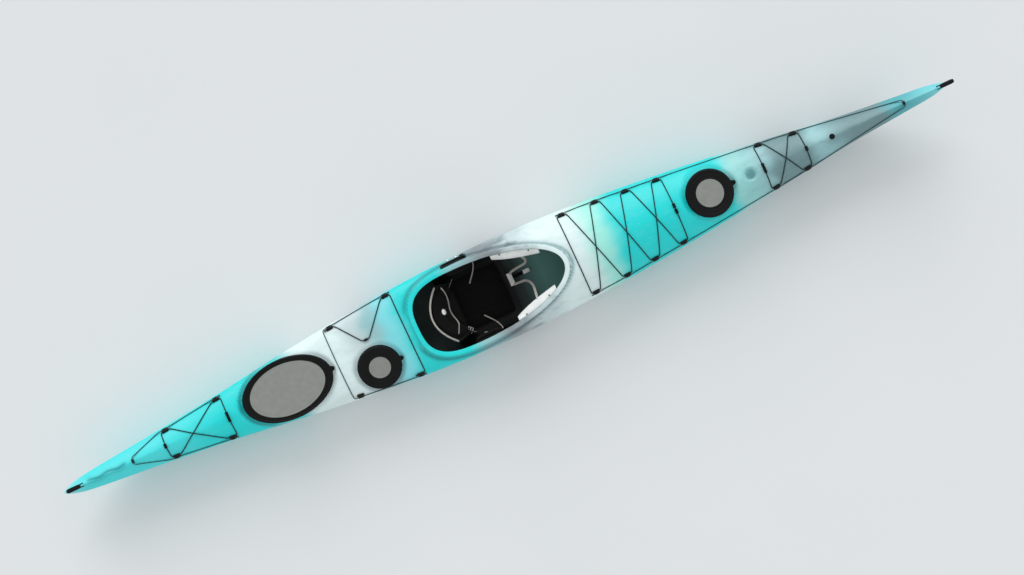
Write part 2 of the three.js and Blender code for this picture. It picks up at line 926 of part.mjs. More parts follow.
function makeSliderTrack() {
  const half = sliderLength / 2;
  const bed = solidOf(
    placed(
      boxBetween(-half, half, -sliderWidth / 2, sliderWidth / 2, -sliderHeight, sliderHeight),
      sliderFrame,
    ),
  );
  const grooveHalf = half - knobLength / 2;
  const groove = solidOf(
    placed(
      boxBetween(
        -grooveHalf,
        grooveHalf,
        -sliderGroove / 2,
        sliderGroove / 2,
        sliderHeight - sliderGrooveDepth,
        sliderHeight + cutOverrun,
      ),
      sliderFrame,
    ),
  );
  return bed.subtract(groove).subtract(outerClearForm);
}

function makeSliderKnob() {
  const fore = sliderTravel / 2 + knobLength / 2;
  const aft = fore - knobLength;
  const stemHalf = sliderGroove / 2 - runningGap;
  const stem = boxBetween(
    aft + knobLength / 3,
    fore - knobLength / 3,
    -stemHalf,
    stemHalf,
    sliderHeight - sliderGrooveDepth + seatGap,
    sliderHeight + knobHeight / 2,
  );
  const grip = boxBetween(
    aft,
    fore,
    -knobWidth / 2,
    knobWidth / 2,
    sliderHeight + seatGap,
    sliderHeight + knobHeight,
  );
  return solidOf(placed(stem, sliderFrame)).add(solidOf(placed(grip, sliderFrame)));
}

// Cords

// A polyline whose even steps are its own points
class RouteCurve extends THREE.Curve {
  constructor(points) {
    super();
    this.points = points;
  }
  getPoint(t) {
    const last = this.points.length - 1;
    const spot = t * last;
    const i = Math.min(last - 1, Math.floor(spot + stepRounding));
    return this.points[i].clone().lerp(this.points[i + 1], spot - i);
  }
  getPointAt(t) {
    return this.getPoint(t);
  }
  getTangentAt(t) {
    const last = this.points.length - 1;
    const i = Math.round(t * last);
    const into = this.points[i].clone().sub(this.points[Math.max(0, i - 1)]).normalize();
    const outOf = this.points[Math.min(last, i + 1)].clone().sub(this.points[i]).normalize();
    return into.add(outOf).normalize();
  }
}

function polygonShape(radius, sides) {
  const corners = Array.from({ length: sides }, (_, i) => {
    const angle = (2 * Math.PI * i) / sides;
    return new THREE.Vector2(radius * Math.cos(angle), radius * Math.sin(angle));
  });
  return new THREE.Shape(corners);
}

function tubeAlong(points, diameter, sides = cordSides) {
  return new THREE.ExtrudeGeometry(polygonShape(diameter / 2, sides), {
    steps: points.length - 1,
    bevelEnabled: false,
    extrudePath: new RouteCurve(points),
  });
}

const cordSolid = (points, diameter) => solidOf(tubeAlong(points, diameter));

// The conduit of the skeg cable: from the box, along the port side below the deck, up under the slider
// Shares of the way forward, of the way out to port and of the rise, from the skeg box to the slider
const cableShares = [
  [0, 0, 0],
  [0.035, 0, 0],
  [0.06, 0.03, 0.03],
  [0.12, 0.14, 0.05],
  [0.2, 0.3, -0.1],
  [0.32, 0.47, -0.4],
  [0.5, 0.64, -0.55],
  [0.68, 0.8, -0.4],
  [0.8, 0.9, -0.1],
  [0.88, 0.955, 0.25],
  [0.93, 0.985, 0.55],
  [0.97, 1, 0.85],
  [1, 1, 1],
];
const cableRoute = (() => {
  const radius = skegCableDiameter / 2;
  const end = new THREE.Vector3(sliderLength / 2 - knobLength, 0, 0).applyMatrix4(sliderFrame);
  end.z -= 2 * shellWall + radius;
  const start = new THREE.Vector3(skegPivotX, 0, skegBoxTop + seatGap + radius);
  return cableShares.map(
    ([ahead, out, up]) =>
      new THREE.Vector3(
        start.x + (end.x - start.x) * ahead,
        end.y * out,
        start.z + (end.z - start.z) * up,
      ),
  );
})();

function makeBulkhead(place) {
  const x = xAt(place);
  const slab = solidOf(
    boxBetween(x - bulkheadThickness / 2, x + bulkheadThickness / 2, -beam, beam, 0, foredeckHeight + beam),
  );
  return slab.intersect(innerClearForm).subtract(cordSolid(cableRoute, skegCableDiameter + 4 * runningGap));
}

// Seat, backrest and pads
const seatAftX = xAt(seatAftPlaceShare);
const sideOf = (v) => 2 * v - 1;

function seatSurface(u, v, lift) {
  const side = sideOf(v);
  const bucket = seatBucket * Math.abs(side) ** bucketPower;
  const front = seatFrontRise * u ** frontRisePower;
  return new THREE.Vector3(
    seatAftX + seatLength * u,
    seatHalfWidth * side,
    seatFloor + bucket + front * (1 - side ** bucketPower) + lift,
  );
}

// Everything under the seat pan's top, raised by the gap that a pad keeps
const underSeatPad = solidOf(
  slabBetween((u, v) => seatSurface(u, v, seatGap), (u, v) => seatSurface(u, v, -cutOverrun), ...seatGrid),
);
const backrestX = seatAftX + backrestPivotInset;
const cheekAftX = xAt(cheekAftPlaceShare);
const cheekInner = seatHalfWidth - cheekThickness / 2;

function makeSeatPan() {
  const pan = solidOf(
    slabBetween((u, v) => seatSurface(u, v, 0), (u, v) => seatSurface(u, v, -seatWall), ...seatGrid),
  );
  const parts = [pan];
  for (const side of [-1, 1]) {
    const skidY = side * skidSpread;
    const skid = boxBetween(
      seatAftX + skidWidth,
      seatAftX + seatLength - skidWidth,
      skidY - skidWidth / 2,
      skidY + skidWidth / 2,
      -cutOverrun,
      seatFloor - seatWall / 2,
    );
    parts.push(solidOf(skid).intersect(innerClearForm));
    const cheekY = side * seatHalfWidth;
    const cheek = boxBetween(
      cheekAftX,
      cheekAftX + cheekLength,
      cheekY - cheekThickness / 2,
      cheekY + cheekThickness / 2,
      cheekBottom,
      cheekTop,
    );
    parts.push(solidOf(cheek).intersect(coamingPrism(-seatGap)));
    for (const bossX of [cheekAftX + cheekBossLength, cheekAftX + cheekLength - cheekBossLength]) {
      const bossY = [cheekY, side * (coamingHalfWidth + coamingWall)].sort((a, b) => a - b);
      const boss = boxBetween(
        bossX - cheekBossLength / 2,
        bossX + cheekBossLength / 2,
        bossY[0],
        bossY[1],
        cheekTop - cheekBossHeight,
        cheekTop,
      );
      parts.push(solidOf(boss).intersect(coamingPrism(-seatGap)));
    }
    const pinY = side * lugOffset;
    const earY = pinY - side * (lugThickness + runningGap);
    const ears = boxBetween(
      backrestX - lugRadius,
      backrestX + lugRadius,
      earY - lugThickness / 2,
      earY + lugThickness / 2,
      seatFloor - seatWall / 2,
      backrestPivotHeight + lugRadius,
    );
    const pinEnds = [earY, pinY + (side * lugThickness) / 2].sort((a, b) => a - b);
    parts.push(solidOf(ears));
    parts.push(
      solidOf(crossPin(backrestX, backrestPivotHeight, backrestPinRadius, pinEnds[0], pinEnds[1])),
    );
  }
  return joined(parts);
}

// A dip of a sewn channel around a place across or along a pad
const channel = (distance) => channelDepth * Math.exp(-((distance / channelWidth) ** 2) * 4);

function makeSeatPad() {
  const startU = (backrestPivotInset + lugRadius + backrestPadThickness) / seatLength;
  const endU = 1 - seatPadInset / seatLength;
  const panShare = (v) => 0.5 + (v - 0.5) * (1 - (2 * seatPadInset) / seatHalfWidth);
  const along = (u) => startU + (endU - startU) * u;
  const base = (u, v) => seatSurface(along(u), panShare(v), -seatPadEdge);
  const top = (u, v) => {
    const side = sideOf(v);
    const edge = (1 - side ** padSidePower) * (1 - sideOf(u) ** padSidePower);
    const crown = seatPadCrown * (1 - side ** 2) * (1 - sideOf(u) ** 2);
    const sewn = channel((Math.abs(side) - seatChannelShare) * seatHalfWidth);
    const lift = seatPadEdge + (seatPadThickness - seatPadEdge) * edge + crown - sewn * edge;
    const shifted = seatSurface(along(0.5 + (u - 0.5) * (1 - lift / seatLength)), panShare(v), seatGap);
    shifted.z = seatSurface(along(u), panShare(v), seatGap).z + lift;
    return shifted;
  };
  return solidOf(slabBetween(top, base, ...seatPadGrid)).subtract(underSeatPad);
}

// The backrest's sheet: side runs across from -1 to 1 and up from 0 to 1, ahead is the distance to its front
function backrestSurface(side, up, ahead) {
  const half = backrestBottomHalf + (backrestTopHalf - backrestBottomHalf) * up;
  const round = side ** 2;
  return new THREE.Vector3(
    backrestX - backrestClear + backrestWrap * round - backrestLean * up ** backrestLeanPower + ahead,
    half * side - (ahead * side) / 2,
    backrestPivotHeight + backrestHeight * up - backrestSideDrop * round * up
      + backrestSideLift * round * (1 - up),
  );
}

const backrestSlab = (ahead, behind) =>
  solidOf(
    slabBetween(
      (u, v) => backrestSurface(sideOf(u), v, ahead),
      (u, v) => backrestSurface(sideOf(u), v, behind),
      ...backrestGrid,
    ),
  );

function makeBackrestShell() {
  const shell = backrestSlab(0, -backrestWall);
  const parts = [shell];
  for (const side of [-1, 1]) {
    const [y0, y1] = [
      side * lugOffset - lugThickness / 2,
      side * lugOffset + lugThickness / 2,
    ];
    const arm = boxBetween(
      backrestX,
      backrestX + lugLength,
      y0,
      y1,
      backrestPivotHeight - lugRadius / 2,
      backrestPivotHeight + lugHeight,
    );
    const eye = crossPin(backrestX, backrestPivotHeight, lugRadius, y0, y1);
    const bore = crossPin(
      backrestX,
      backrestPivotHeight,
      backrestPinRadius + runningGap,
      y0 - cutOverrun,
      y1 + cutOverrun,
    );
    const lug = joined([solidOf(arm), solidOf(eye)]);
    parts.push(lug.subtract(solidOf(bore)));
  }
  return joined(parts);
}

function makeBackrestPad() {
  const inset = backrestPadEdge / backrestTopHalf;
  const low = lugHeight / backrestHeight;
  const upAt = (v) => low + (1 - low - inset) * v;
  const back = (u, v) => backrestSurface(sideOf(u) * (1 - inset), upAt(v), -backrestWall / 2);
  const front = (u, v) => {
    const side = sideOf(u) * (1 - inset);
    const edge = (1 - sideOf(u) ** padSidePower) * (1 - sideOf(v) ** padEndPower);
    const sewn = channel((Math.abs(side) - backChannelShare) * backrestTopHalf);
    const thickness = backrestPadEdge + (backrestPadThickness - backrestPadEdge) * edge - sewn * edge;
    return backrestSurface(side, upAt(v), thickness);
  };
  const behindPad = backrestSlab(seatGap, -backrestPadThickness);
  return solidOf(slabBetween(front, back, ...backrestPadGrid)).subtract(behindPad);
}

function makeHipPad(side) {
  const base = cheekInner - seatGap;
  const at = (u, v, depth) =>
    new THREE.Vector3(
      cheekAftX + (cheekLength - hipPadLength) / 2 + hipPadLength * u,
      side * (base - depth),
      hipPadBase + hipPadHeight * v,
    );
  const swell = (u, v) => {
    const edge = (1 - sideOf(u) ** padEndPower) * (1 - sideOf(v) ** padEndPower);
    return hipPadEdge + (hipPadThickness - hipPadEdge) * edge;
  };
  return slabBetween((u, v) => at(u, v, swell(u, v)), (u, v) => at(u, v, 0), ...hipPadGrid);
}

function makeStrap(side) {
  const front = cheekAftX + cheekLength - cheekBossLength;
  const outer = side * (cheekInner - seatGap);
  const at = (u, edge, depth) =>
    new THREE.Vector3(
      front - strapLength * u,
      outer - side * (depth + strapReach * u ** 2),
      strapBase + strapWidth * edge,
    );
  return slabBetween((u, v) => at(u, v, 0), (u, v) => at(u, v, strapThickness), ...strapGrid);
}

function makeThighBrace(side) {
  const aftX = xAt(thighAftPlaceShare);
  const foreX = xAt(thighForePlaceShare);
  const edgeAt = (x) => {
    const along = Math.min(1, (x - coamingWideX) / coamingFrontLength);
    return coamingHalfWidth * (1 - along ** coamingFrontFullness) ** (1 / coamingFrontFullness);
  };
  const at = (u, v, depth) => {
    const x = aftX + (foreX - aftX) * u;
    const turn = Math.PI * (thighStartShare + thighSpanShare * u);
    const reach = thighReach * Math.sin(turn) ** thighCurve;
    const y = side * (edgeAt(x) + coamingWall - (reach + coamingWall) * v);
    const level = deckSurface(x, edgeAt(x)) + coamingRise - thighDrop;
    return new THREE.Vector3(x, y, level - thighHang * v ** 2 - depth);
  };
  const sheet = slabBetween((u, v) => at(u, v, 0), (u, v) => at(u, v, thighThickness), ...thighGrid);
  return solidOf(sheet).intersect(coamingPrism(-seatGap));
}

// Foot braces, a clearance short of the bulkhead ahead of them
const railForeX = xAt(bowBulkheadPlaceShare) - bulkheadThickness / 2 - railBulkheadGap;
const railAftX = railForeX - railLength;

const railSideAt = (share) => {
  const place = placeAt(railAftX + share * railLength);
  return hullHalfAt(place, railLevel) - shellWall - railSideGap;
};

function railFrame(side) {
  const aft = railSideAt(0);
  const fore = railSideAt(1);
  const yaw = Math.atan2(side * (fore - aft), railLength);
  return new THREE.Matrix4().compose(
    new THREE.Vector3(railAftX, side * aft, railLevel),
    new THREE.Quaternion().setFromEuler(new THREE.Euler(0, 0, yaw)),
    new THREE.Vector3(1, 1, 1),
  );
}

// In the rail's frame Y points to port, so the inboard direction is -side
function makeRail(side) {
  const span = (x0, x1, out0, out1, z0, z1) => {
    const [y0, y1] = [side * out0, side * out1].sort((a, b) => a - b);
    return placed(boxBetween(x0, x1, y0, y1, z0, z1), railFrame(side));
  };
  const parts = [solidOf(span(0, railLength, -railDepth, 0, -railHeight / 2, railHeight / 2))];
  const lastTooth = railLength - railToothPitch;
  for (let x = railToothPitch; x < lastTooth; x += railToothPitch) {
    parts.push(
      solidOf(
        span(
          x,
          x + railToothPitch / 2,
          -railDepth - railTooth,
          -railDepth / 2,
          -railHeight / 2,
          -railHeight / 2 + railTooth * 2,
        ),
      ),
    );
  }
  for (const x of [0, railLength - spacerLength]) {
    const spacer = span(x, x + spacerLength, -railDepth / 2, cutOverrun, -railHeight / 3, railHeight / 3);
    parts.push(solidOf(spacer).intersect(innerClearForm));
  }
  return joined(parts);
}

function makePedal(side) {
  const span = (x0, x1, out0, out1, z0, z1) => {
    const [y0, y1] = [side * out0, side * out1].sort((a, b) => a - b);
    return solidOf(placed(boxBetween(x0, x1, y0, y1, z0, z1), railFrame(side)));
  };
  const aft = railLength * pedalRestShare;
  const fore = aft + pedalHousingLength;
  const inner = -railDepth - railTooth - runningGap;
  const wall = railTooth * 2;
  const top = railHeight / 2 + runningGap;
  const housing = [
    span(aft, fore, inner - wall, inner, -top - wall, top + wall),
    span(aft, fore, inner, -runningGap, top, top + wall),
    span(aft, fore, inner, -runningGap, -top - wall, -top),
  ];
  const foot = span(
    fore - pedalThickness,
    fore,
    inner - wall - pedalWidth,
    inner - wall / 2,
    -pedalHeight / 2,
    pedalHeight / 2,
  );
  const ribs = [-pedalHeight / 3, 0, pedalHeight / 3].map((z) =>
    span(
      fore - pedalThickness - railTooth,
      fore - pedalThickness / 2,
      inner - wall - pedalWidth + wall,
      inner - wall * 2,
      z - railTooth,
      z + railTooth,
    ),
  );
  return joined([...housing, foot, ...ribs]);
}

// Deck fittings: a rounded block over two fore-and-aft bores, the inboard one for the bungee
const boreRadius = (diameter) => diameter / 2 + boreSlack;

function boreHole(y, diameter) {
  const hole = new THREE.Path();
  const radius = boreRadius(diameter);
  for (let i = 0; i < boreSides; i++) {
    const angle = (-2 * Math.PI * (i + 0.5)) / boreSides;
    const corner = [y + radius * Math.cos(angle), boreLevel + radius * Math.sin(angle)];
    if (i === 0) hole.moveTo(...corner);
    else hole.lineTo(...corner);
  }
  hole.closePath();
  return hole;
}

// The block in its own frame, extruded along X: holes is a list of [y, cord diameter]
function fittingBlock(length, width, holes) {
  const half = width / 2;
  const shape = new THREE.Shape();
  shape.moveTo(-half, fittingFoot);
  shape.lineTo(half, fittingFoot);
  shape.lineTo(half, fittingHeight - fittingRound);
  shape.absarc(half - fittingRound, fittingHeight - fittingRound, fittingRound, 0, Math.PI / 2, false);
  shape.absarc(-half + fittingRound, fittingHeight - fittingRound, fittingRound, Math.PI / 2, Math.PI, false);
  shape.closePath();
  holes.forEach(([y, diameter]) => shape.holes.push(boreHole(y, diameter)));
  const block = new THREE.ExtrudeGeometry(shape, {
    depth: length,
    bevelEnabled: false,
    curveSegments: fittingSegments,
  });
  block.applyMatrix4(new THREE.Matrix4().makeBasis(
    new THREE.Vector3(0, 1, 0),
    new THREE.Vector3(0, 0, 1),
    new THREE.Vector3(1, 0, 0),
  ));
  return block.translate(-length / 2, 0, 0);
}

function makeFitting(frame, holes, length = fittingLength, width = fittingWidth) {
  return solidOf(placed(fittingBlock(length, width, holes), frame));
}

// The two points where a cord enters and leaves a fitting; heading is 1 towards the bow
function passThrough(frame, y, heading, length = fittingLength, leadIn = standOff, leadOut = standOff) {
  const into = -heading * (length / 2 + leadIn);
  const outOf = heading * (length / 2 + leadOut);
  return [into, outOf].map((end) => new THREE.Vector3(end, y, boreLevel).applyMatrix4(frame));
}

// How far the deck stands above the straight line between two of its points
function deckBulge(a, b) {
  const [from, to] = [a, b].map((point) => deckSurface(point.x, point.y));
  const rises = bulgeShares.map((share) => {
    const point = a.clone().lerp(b, share);
    return deckSurface(point.x, point.y) - (from + (to - from) * share);
  });
  return Math.max(0, ...rises);
}

// How far a cord's middle line lies above the deck, which is more where the deck is steep
function restingLift(x, y, diameter) {
  const reach = diameter / 2;
  const slope = (deckSurface(x, y + reach) - deckSurface(x, y - reach)) / diameter;
  return reach * Math.hypot(1, slope) + cordLift;
}

// Joins passes with stretches that lie on the deck. The stretches up to the last one over rise at each
// crossing.
function rigRoute(passes, diameter, step, crossings = [], lastOver = 0) {
  const route = [...passes[0]];
  for (let i = 1; i < passes.length; i++) {
    const [before, start] = passes[i - 1];
    const [end, after] = passes[i];
    const heading = end.clone().sub(start).normalize();
    const lead = start.clone().sub(before).normalize().add(heading).normalize();
    const trail = after.clone().sub(end).normalize().add(heading).normalize();
    const bendStart = start.clone().addScaledVector(lead, cordBend);
    const bendEnd = end.clone().addScaledVector(trail, -cordBend);
    const steps = Math.max(2, Math.round(bendStart.distanceTo(bendEnd) / step));
    const pointAt = (k) => bendStart.clone().lerp(bendEnd, Math.min(Math.max(k, 0), steps) / steps);
    for (let k = 0; k <= steps; k++) {
      const point = pointAt(k);
      const bulge = Math.max(deckBulge(pointAt(k - 1), point), deckBulge(point, pointAt(k + 1)));
      const near = crossings.map(([x, y]) => Math.hypot(point.x - x, point.y - y) / crossingReach);
      const over = i <= lastOver ? Math.max(0, ...near.map((share) => Math.exp(-(share ** 2)))) : 0;
      const lift = restingLift(point.x, point.y, diameter) + bulge;
      const onDeck = deckSurface(point.x, point.y) + lift;
      const atEnd = k === 0 || k === steps;
      point.z = atEnd ? Math.max(point.z, onDeck) : onDeck + over * (bungeeDiameter + cordLift);
      route.push(point);
    }
    route.push(end, after);
  }
  return route;
}

// A round bar with blunt ends, for beads and knots; across turns it to lie along Y instead of X
function roundBar(point, radius, length, across) {
  const blunt = radius * bluntShare;
  const bar = ovalStack(
    [
      [blunt, blunt, -length / 2],
      [radius, radius, -length / 2 + blunt],
      [radius, radius, length / 2 - blunt],
      [blunt, blunt, length / 2],
    ],
    beadSides,
  );
  if (across) bar.rotateX(Math.PI / 2);
  else bar.rotateY(Math.PI / 2);
  return solidOf(bar.translate(point.x, point.y, point.z)).subtract(outerClearForm);
}

// Places of the fitting pairs, with their share of the half beam
const sternPairShares = [
  [0.12, 0.785],
  [0.18, 0.855],
];
const aftPairShares = [
  [0.3165, 0.912],
  [0.382, 0.93],
];
const foredeckPairShares = [
  [0.581, 0.888],
  [0.6175, 0.888],
  [0.6505, 0.876],
  [0.684, 0.874],
];
const bowPairShares = [
  [0.794, 0.873],
  [0.831, 0.87],
];

const pairFrame = ([place, share], side) => deckFrame(place, share, side);
const bungeeY = (side) => -side * boreSpread;
const lineY = (side) => side * boreSpread;
const bungeePass = (pair, side, heading, ...leads) =>
  passThrough(pairFrame(pair, side), bungeeY(side), heading, fittingLength, ...leads);
const linePass = (pair, side, heading, ...leads) =>
  passThrough(pairFrame(pair, side), lineY(side), heading, fittingLength, ...leads);
const crossingOf = ([aft], [fore]) => [xAt((aft + fore) / 2), 0];

// A point of a cord that lies across the deck, a distance ahead of a place
function acrossPoint(place, ahead, offset) {
  const x = xAt(place) + ahead;
  return new THREE.Vector3(x, offset, deckSurface(x, offset) + bungeeDiameter / 2 + cordLift);
}

const acrossReach = fittingLength / 2 + standOff + cordBend / 2;

// A cross between two pairs, closed across behind and in front, with a bead on each closing stretch.
// The cord is held fast by its four fittings, and its ends meet inside the first one.
function makeCrossedRigging([aftPair, forePair], aftBead, foreBead) {
  const first = pairFrame(aftPair, 1);
  const [firstIn, firstOut] = bungeePass(aftPair, 1, 1);
  const middle = new THREE.Vector3(0, bungeeY(1), boreLevel);
  const meetAhead = middle.clone().setX(standOff).applyMatrix4(first);
  const meetBehind = middle.clone().setX(-standOff).applyMatrix4(first);
  const passes = [
    [meetAhead, firstOut],
    bungeePass(forePair, -1, 1),
    bungeePass(forePair, 1, -1),
    bungeePass(aftPair, -1, -1),
    [firstIn, meetBehind],
  ];
  const crossing = crossingOf(aftPair, forePair);
  const cord = cordSolid(rigRoute(passes, bungeeDiameter, bungeeStep, [crossing], 1), bungeeDiameter);
  const blocks = [1, -1].flatMap((side) =>
    [aftPair, forePair].map((pair) => makeFitting(pairFrame(pair, side), [[lineY(side), lineDiameter]])),
  );
  const beads = [
    roundBar(acrossPoint(aftPair[0], -acrossReach, 0), beadRadius, aftBead, true),
    roundBar(acrossPoint(forePair[0], acrossReach, 0), beadRadius, foreBead, true),
  ];
  return joined([cord, ...blocks, ...beads]);
}

// The foredeck bungee runs aft over all pairs and forward again, so that each bay holds a cross
function makeForedeckBungee() {
  const pairs = foredeckPairShares;
  const last = pairs[pairs.length - 1];
  const sideAt = (i) => (i % 2 ? -1 : 1);
  const meet = (offset) => acrossPoint(last[0], acrossReach, foreBeadOffset + offset);
  const passes = [
    [meet(standOff / 2), meet(beadLength / 2)],
    ...[...pairs].reverse().map((pair, i) => bungeePass(pair, sideAt(i), -1)),
    ...pairs.map((pair, i) => bungeePass(pair, sideAt(i), 1)),
    [meet(-beadLength / 2), meet(-standOff / 2)],
  ];
  const crossings = pairs.slice(1).map((pair, i) => crossingOf(pairs[i], pair));
  const route = rigRoute(passes, bungeeDiameter, bungeeStep, crossings, pairs.length);
  const beads = [0, beadSpacing].map((offset) => roundBar(meet(offset), beadRadius, beadLength, true));
  return joined([cordSolid(route, bungeeDiameter), ...beads]);
}

// A cord through a list of passes with a knot at both ends, one with the padeye that holds it
function knottedCord(passes, diameter, step, padeyeFrames = []) {
  const route = rigRoute(passes, diameter, step);
  const ends = [route[0], route[route.length - 1]];
  const knots = ends.map((point) => roundBar(point, knotRadius, 2 * knotRadius, false));
  const padeyes = padeyeFrames.map((frame) => makeFitting(frame, [], padeyeLength, padeyeWidth));
  return joined([cordSolid(route, diameter), ...knots, ...padeyes]);
}

const hookFrame = deckFrame(hookPlaceShare, 0, 1, hookOffset);
const padeyeFrame = (place) => {
  const frame = deckFrame(place, 0, 1, 0);
  return frame.multiply(new THREE.Matrix4().makeRotationZ(Math.PI / 2));
};
const bowPadeyeFrame = padeyeFrame(bowPadeyePlaceShare);
const sternPadeyeFrame = padeyeFrame(sternPadeyePlaceShare);
const knotLead = knotRadius + seatGap;

function makeAftBungee() {
  const [aftPair, forePair] = aftPairShares;
  const passes = [
    bungeePass(aftPair, 1, 1, knotLead),
    passThrough(hookFrame, 0, 1, padeyeLength),
    bungeePass(forePair, 1, 1),
    bungeePass(forePair, -1, -1, standOff, knotLead),
  ];
  return knottedCord(passes, bungeeDiameter, bungeeStep, [hookFrame]);
}

function makeAftLine() {
  const [aftPair, forePair] = aftPairShares;
  const passes = [
    linePass(forePair, 1, -1, knotLead),
    linePass(aftPair, 1, -1, standOff, acrossLead - fittingLength / 2),
    linePass(aftPair, -1, 1, acrossLead - fittingLength / 2),
    linePass(forePair, -1, 1, standOff, knotLead),
  ];
  return knottedCord(passes, lineDiameter, lineStep);
}

function makeSternLine() {
  const [aftPair, forePair] = sternPairShares;
  const passes = [
    linePass(forePair, 1, -1, knotLead),
    linePass(aftPair, 1, -1, standOff, acrossLead - fittingLength / 2),
    passThrough(sternPadeyeFrame, 0, -1, padeyeLength),
    linePass(aftPair, -1, 1, acrossLead - fittingLength / 2),
    linePass(forePair, -1, 1, standOff, knotLead),
  ];
  return knottedCord(passes, lineDiameter, lineStep, [sternPadeyeFrame]);
}

function makeBowLine() {
  const pairs = [...foredeckPairShares, ...bowPairShares];
  const last = pairs.length - 1;
  const lead = acrossLead - fittingLength / 2;
  const portSide = pairs.map((pair, i) =>
    linePass(pair, 1, 1, i === 0 ? knotLead : standOff, i === last ? lead : standOff),
  );
  const starboardSide = pairs.map((pair, i) =>
    linePass(pair, -1, -1, i === last ? lead : standOff, i === 0 ? knotLead : standOff),
  );
  const padeye = passThrough(bowPadeyeFrame, 0, -1, padeyeLength);
  const passes = [...portSide, padeye, ...starboardSide.reverse()];
  return knottedCord(passes, lineDiameter, lineStep, [bowPadeyeFrame]);
}

// Carrying toggles: a fork on a pin through the boss that the deck carries
const bowPivotX = xAt(hullEndShare) - (toggleLength + toggleLead - bowOverhang);
const sternPivotX = xAt(0) + sternTogglePivotInset;
const pivotHeightAt = (x) => deckSurface(x, 0) + togglePivotLift;

function makeBoss(x) {
  const height = pivotHeightAt(x);
  const half = bossThickness / 2;
  const eye = solidOf(crossPin(x, height, bossRadius, -half, half));
  const foot = solidOf(
    boxBetween(x - bossRadius, x + bossRadius, -half, half, height - togglePivotLift - shellWall / 2, height),
  );
  const bore = crossPin(x, height, togglePinRadius + runningGap, -bossThickness, bossThickness);
  return eye.add(foot).subtract(solidOf(bore));
}

// The toggle points away from the middle of the boat
function makeToggle(pivotX, end) {
  const height = pivotHeightAt(pivotX);
  const inner = bossThickness / 2 + runningGap;
  const outer = inner + forkThickness;
  const half = toggleThickness / 2;
  const lead = pivotX + end * toggleLead;
  const tip = lead + end * toggleLength;
  const [x0, x1] = [lead, tip].sort((a, b) => a - b);
  const corner = toggleWidth / 4;
  const shape = new THREE.Shape([
    [x0, -outer],
    [x0 + corner, -toggleWidth / 2],
    [x1 - corner, -toggleWidth / 2],
    [x1, -toggleWidth / 2 + corner],
    [x1, toggleWidth / 2 - corner],
    [x1 - corner, toggleWidth / 2],
    [x0 + corner, toggleWidth / 2],
    [x0, outer],
  ].map(([x, y]) => new THREE.Vector2(x, y)));
  const grip = new THREE.ExtrudeGeometry(shape, { depth: toggleThickness, bevelEnabled: false });
  grip.translate(0, 0, height - half);
  const parts = [solidOf(grip), solidOf(crossPin(pivotX, height, togglePinRadius, -outer, outer))];
  for (const side of [-1, 1]) {
    const [y0, y1] = [side * inner, side * outer].sort((a, b) => a - b);
    const [a, b] = [pivotX, lead + end * forkThickness].sort((p, q) => p - q);
    parts.push(solidOf(crossPin(pivotX, height, forkRadius, y0, y1)));
    parts.push(solidOf(boxBetween(a, b, y0, y1, height - forkRadius, height + forkRadius)));
  }
  return joined(parts);
}

// The drain plug: a cap that sits on the deck and a stem through it
const drainFrame = deckFrame(drainPlaceShare, 0, 1, 0);

function makeDrainPlug() {
  const cap = ovalStack(
    [
      [drainCapRadius, drainCapRadius, -drainCapHeight],
      [drainCapRadius, drainCapRadius, drainCapHeight / 2],
      [drainStemRadius, drainStemRadius, drainCapHeight],
    ],
    drainSides,
  );
  const stem = ovalStack(
    [
      [drainStemRadius, drainStemRadius, -drainStemDrop],
      [drainStemRadius, drainStemRadius, drainCapHeight / 2],
    ],
    drainSides,
  );
  const seated = solidOf(placed(cap, drainFrame)).subtract(outerClearForm);
  return seated.add(solidOf(placed(stem, drainFrame)));
}

// The two skins
const skin = seatedForm(outerForm, 0).subtract(seatedForm(innerForm, shellWall));

function makeHullShell() {
  return skin.intersect(lowerHalf).subtract(skegSlot);
}

function makeDeckShell() {
  const holeInset = rimMouthInset - rimWall - runningGap;
  const stem = drainStemRadius + runningGap;
  const holes = [
    hatchHole(sternSeat, sternHatchLong, sternHatchWide, holeInset),
    hatchHole(daySeat, dayHatchRadius, dayHatchRadius, holeInset),
    hatchHole(bowSeat, bowHatchRadius, bowHatchRadius, holeInset),
    hatchHole({ frame: drainFrame }, stem, stem, 0, drainSides),
    coamingPrism(coamingWall + seatGap),
  ];
  let deck = skin.subtract(seamHalf);
  for (const hole of holes) deck = deck.subtract(hole);
  return joined([deck, makeBoss(bowPivotX), makeBoss(sternPivotX)]);
}

// The deck cut across at its seams, so that each length goes round one opening
function deckLengths() {
  const deck = makeDeckShell();
  const starts = [xAt(0) - cutOverrun, ...deckSeamPlaceShares.map(xAt)];
  const ends = [...deckSeamPlaceShares.map(xAt), xAt(1) + cutOverrun];
  return starts.map((start, i) => {
    const x0 = start + seatGap / 2;
    const x1 = ends[i] - seatGap / 2;
    return deck.intersect(solidOf(boxBetween(x0, x1, -beam, beam, 0, foredeckHeight + beam)));
  });
}

// Single fittings of a zone, numbered from the stern
function zoneFittings(zone, pairs) {
  return pairs.flatMap((pair, i) =>
    [
      ["port", 1],
      ["starboard", -1],
    ].map(([sideName, side]) => {
      const holes = [
        [bungeeY(side), bungeeDiameter],
        [lineY(side), lineDiameter],
      ];
      const name = `${zone}_fitting_${sideName}_${i + 1}`;
      return piece(name, makeFitting(pairFrame(pair, side), holes), blackPlastic);
    }),
  );
}

const [sternDeck, aftDeck, cockpitDeck, bowDeck] = deckLengths();

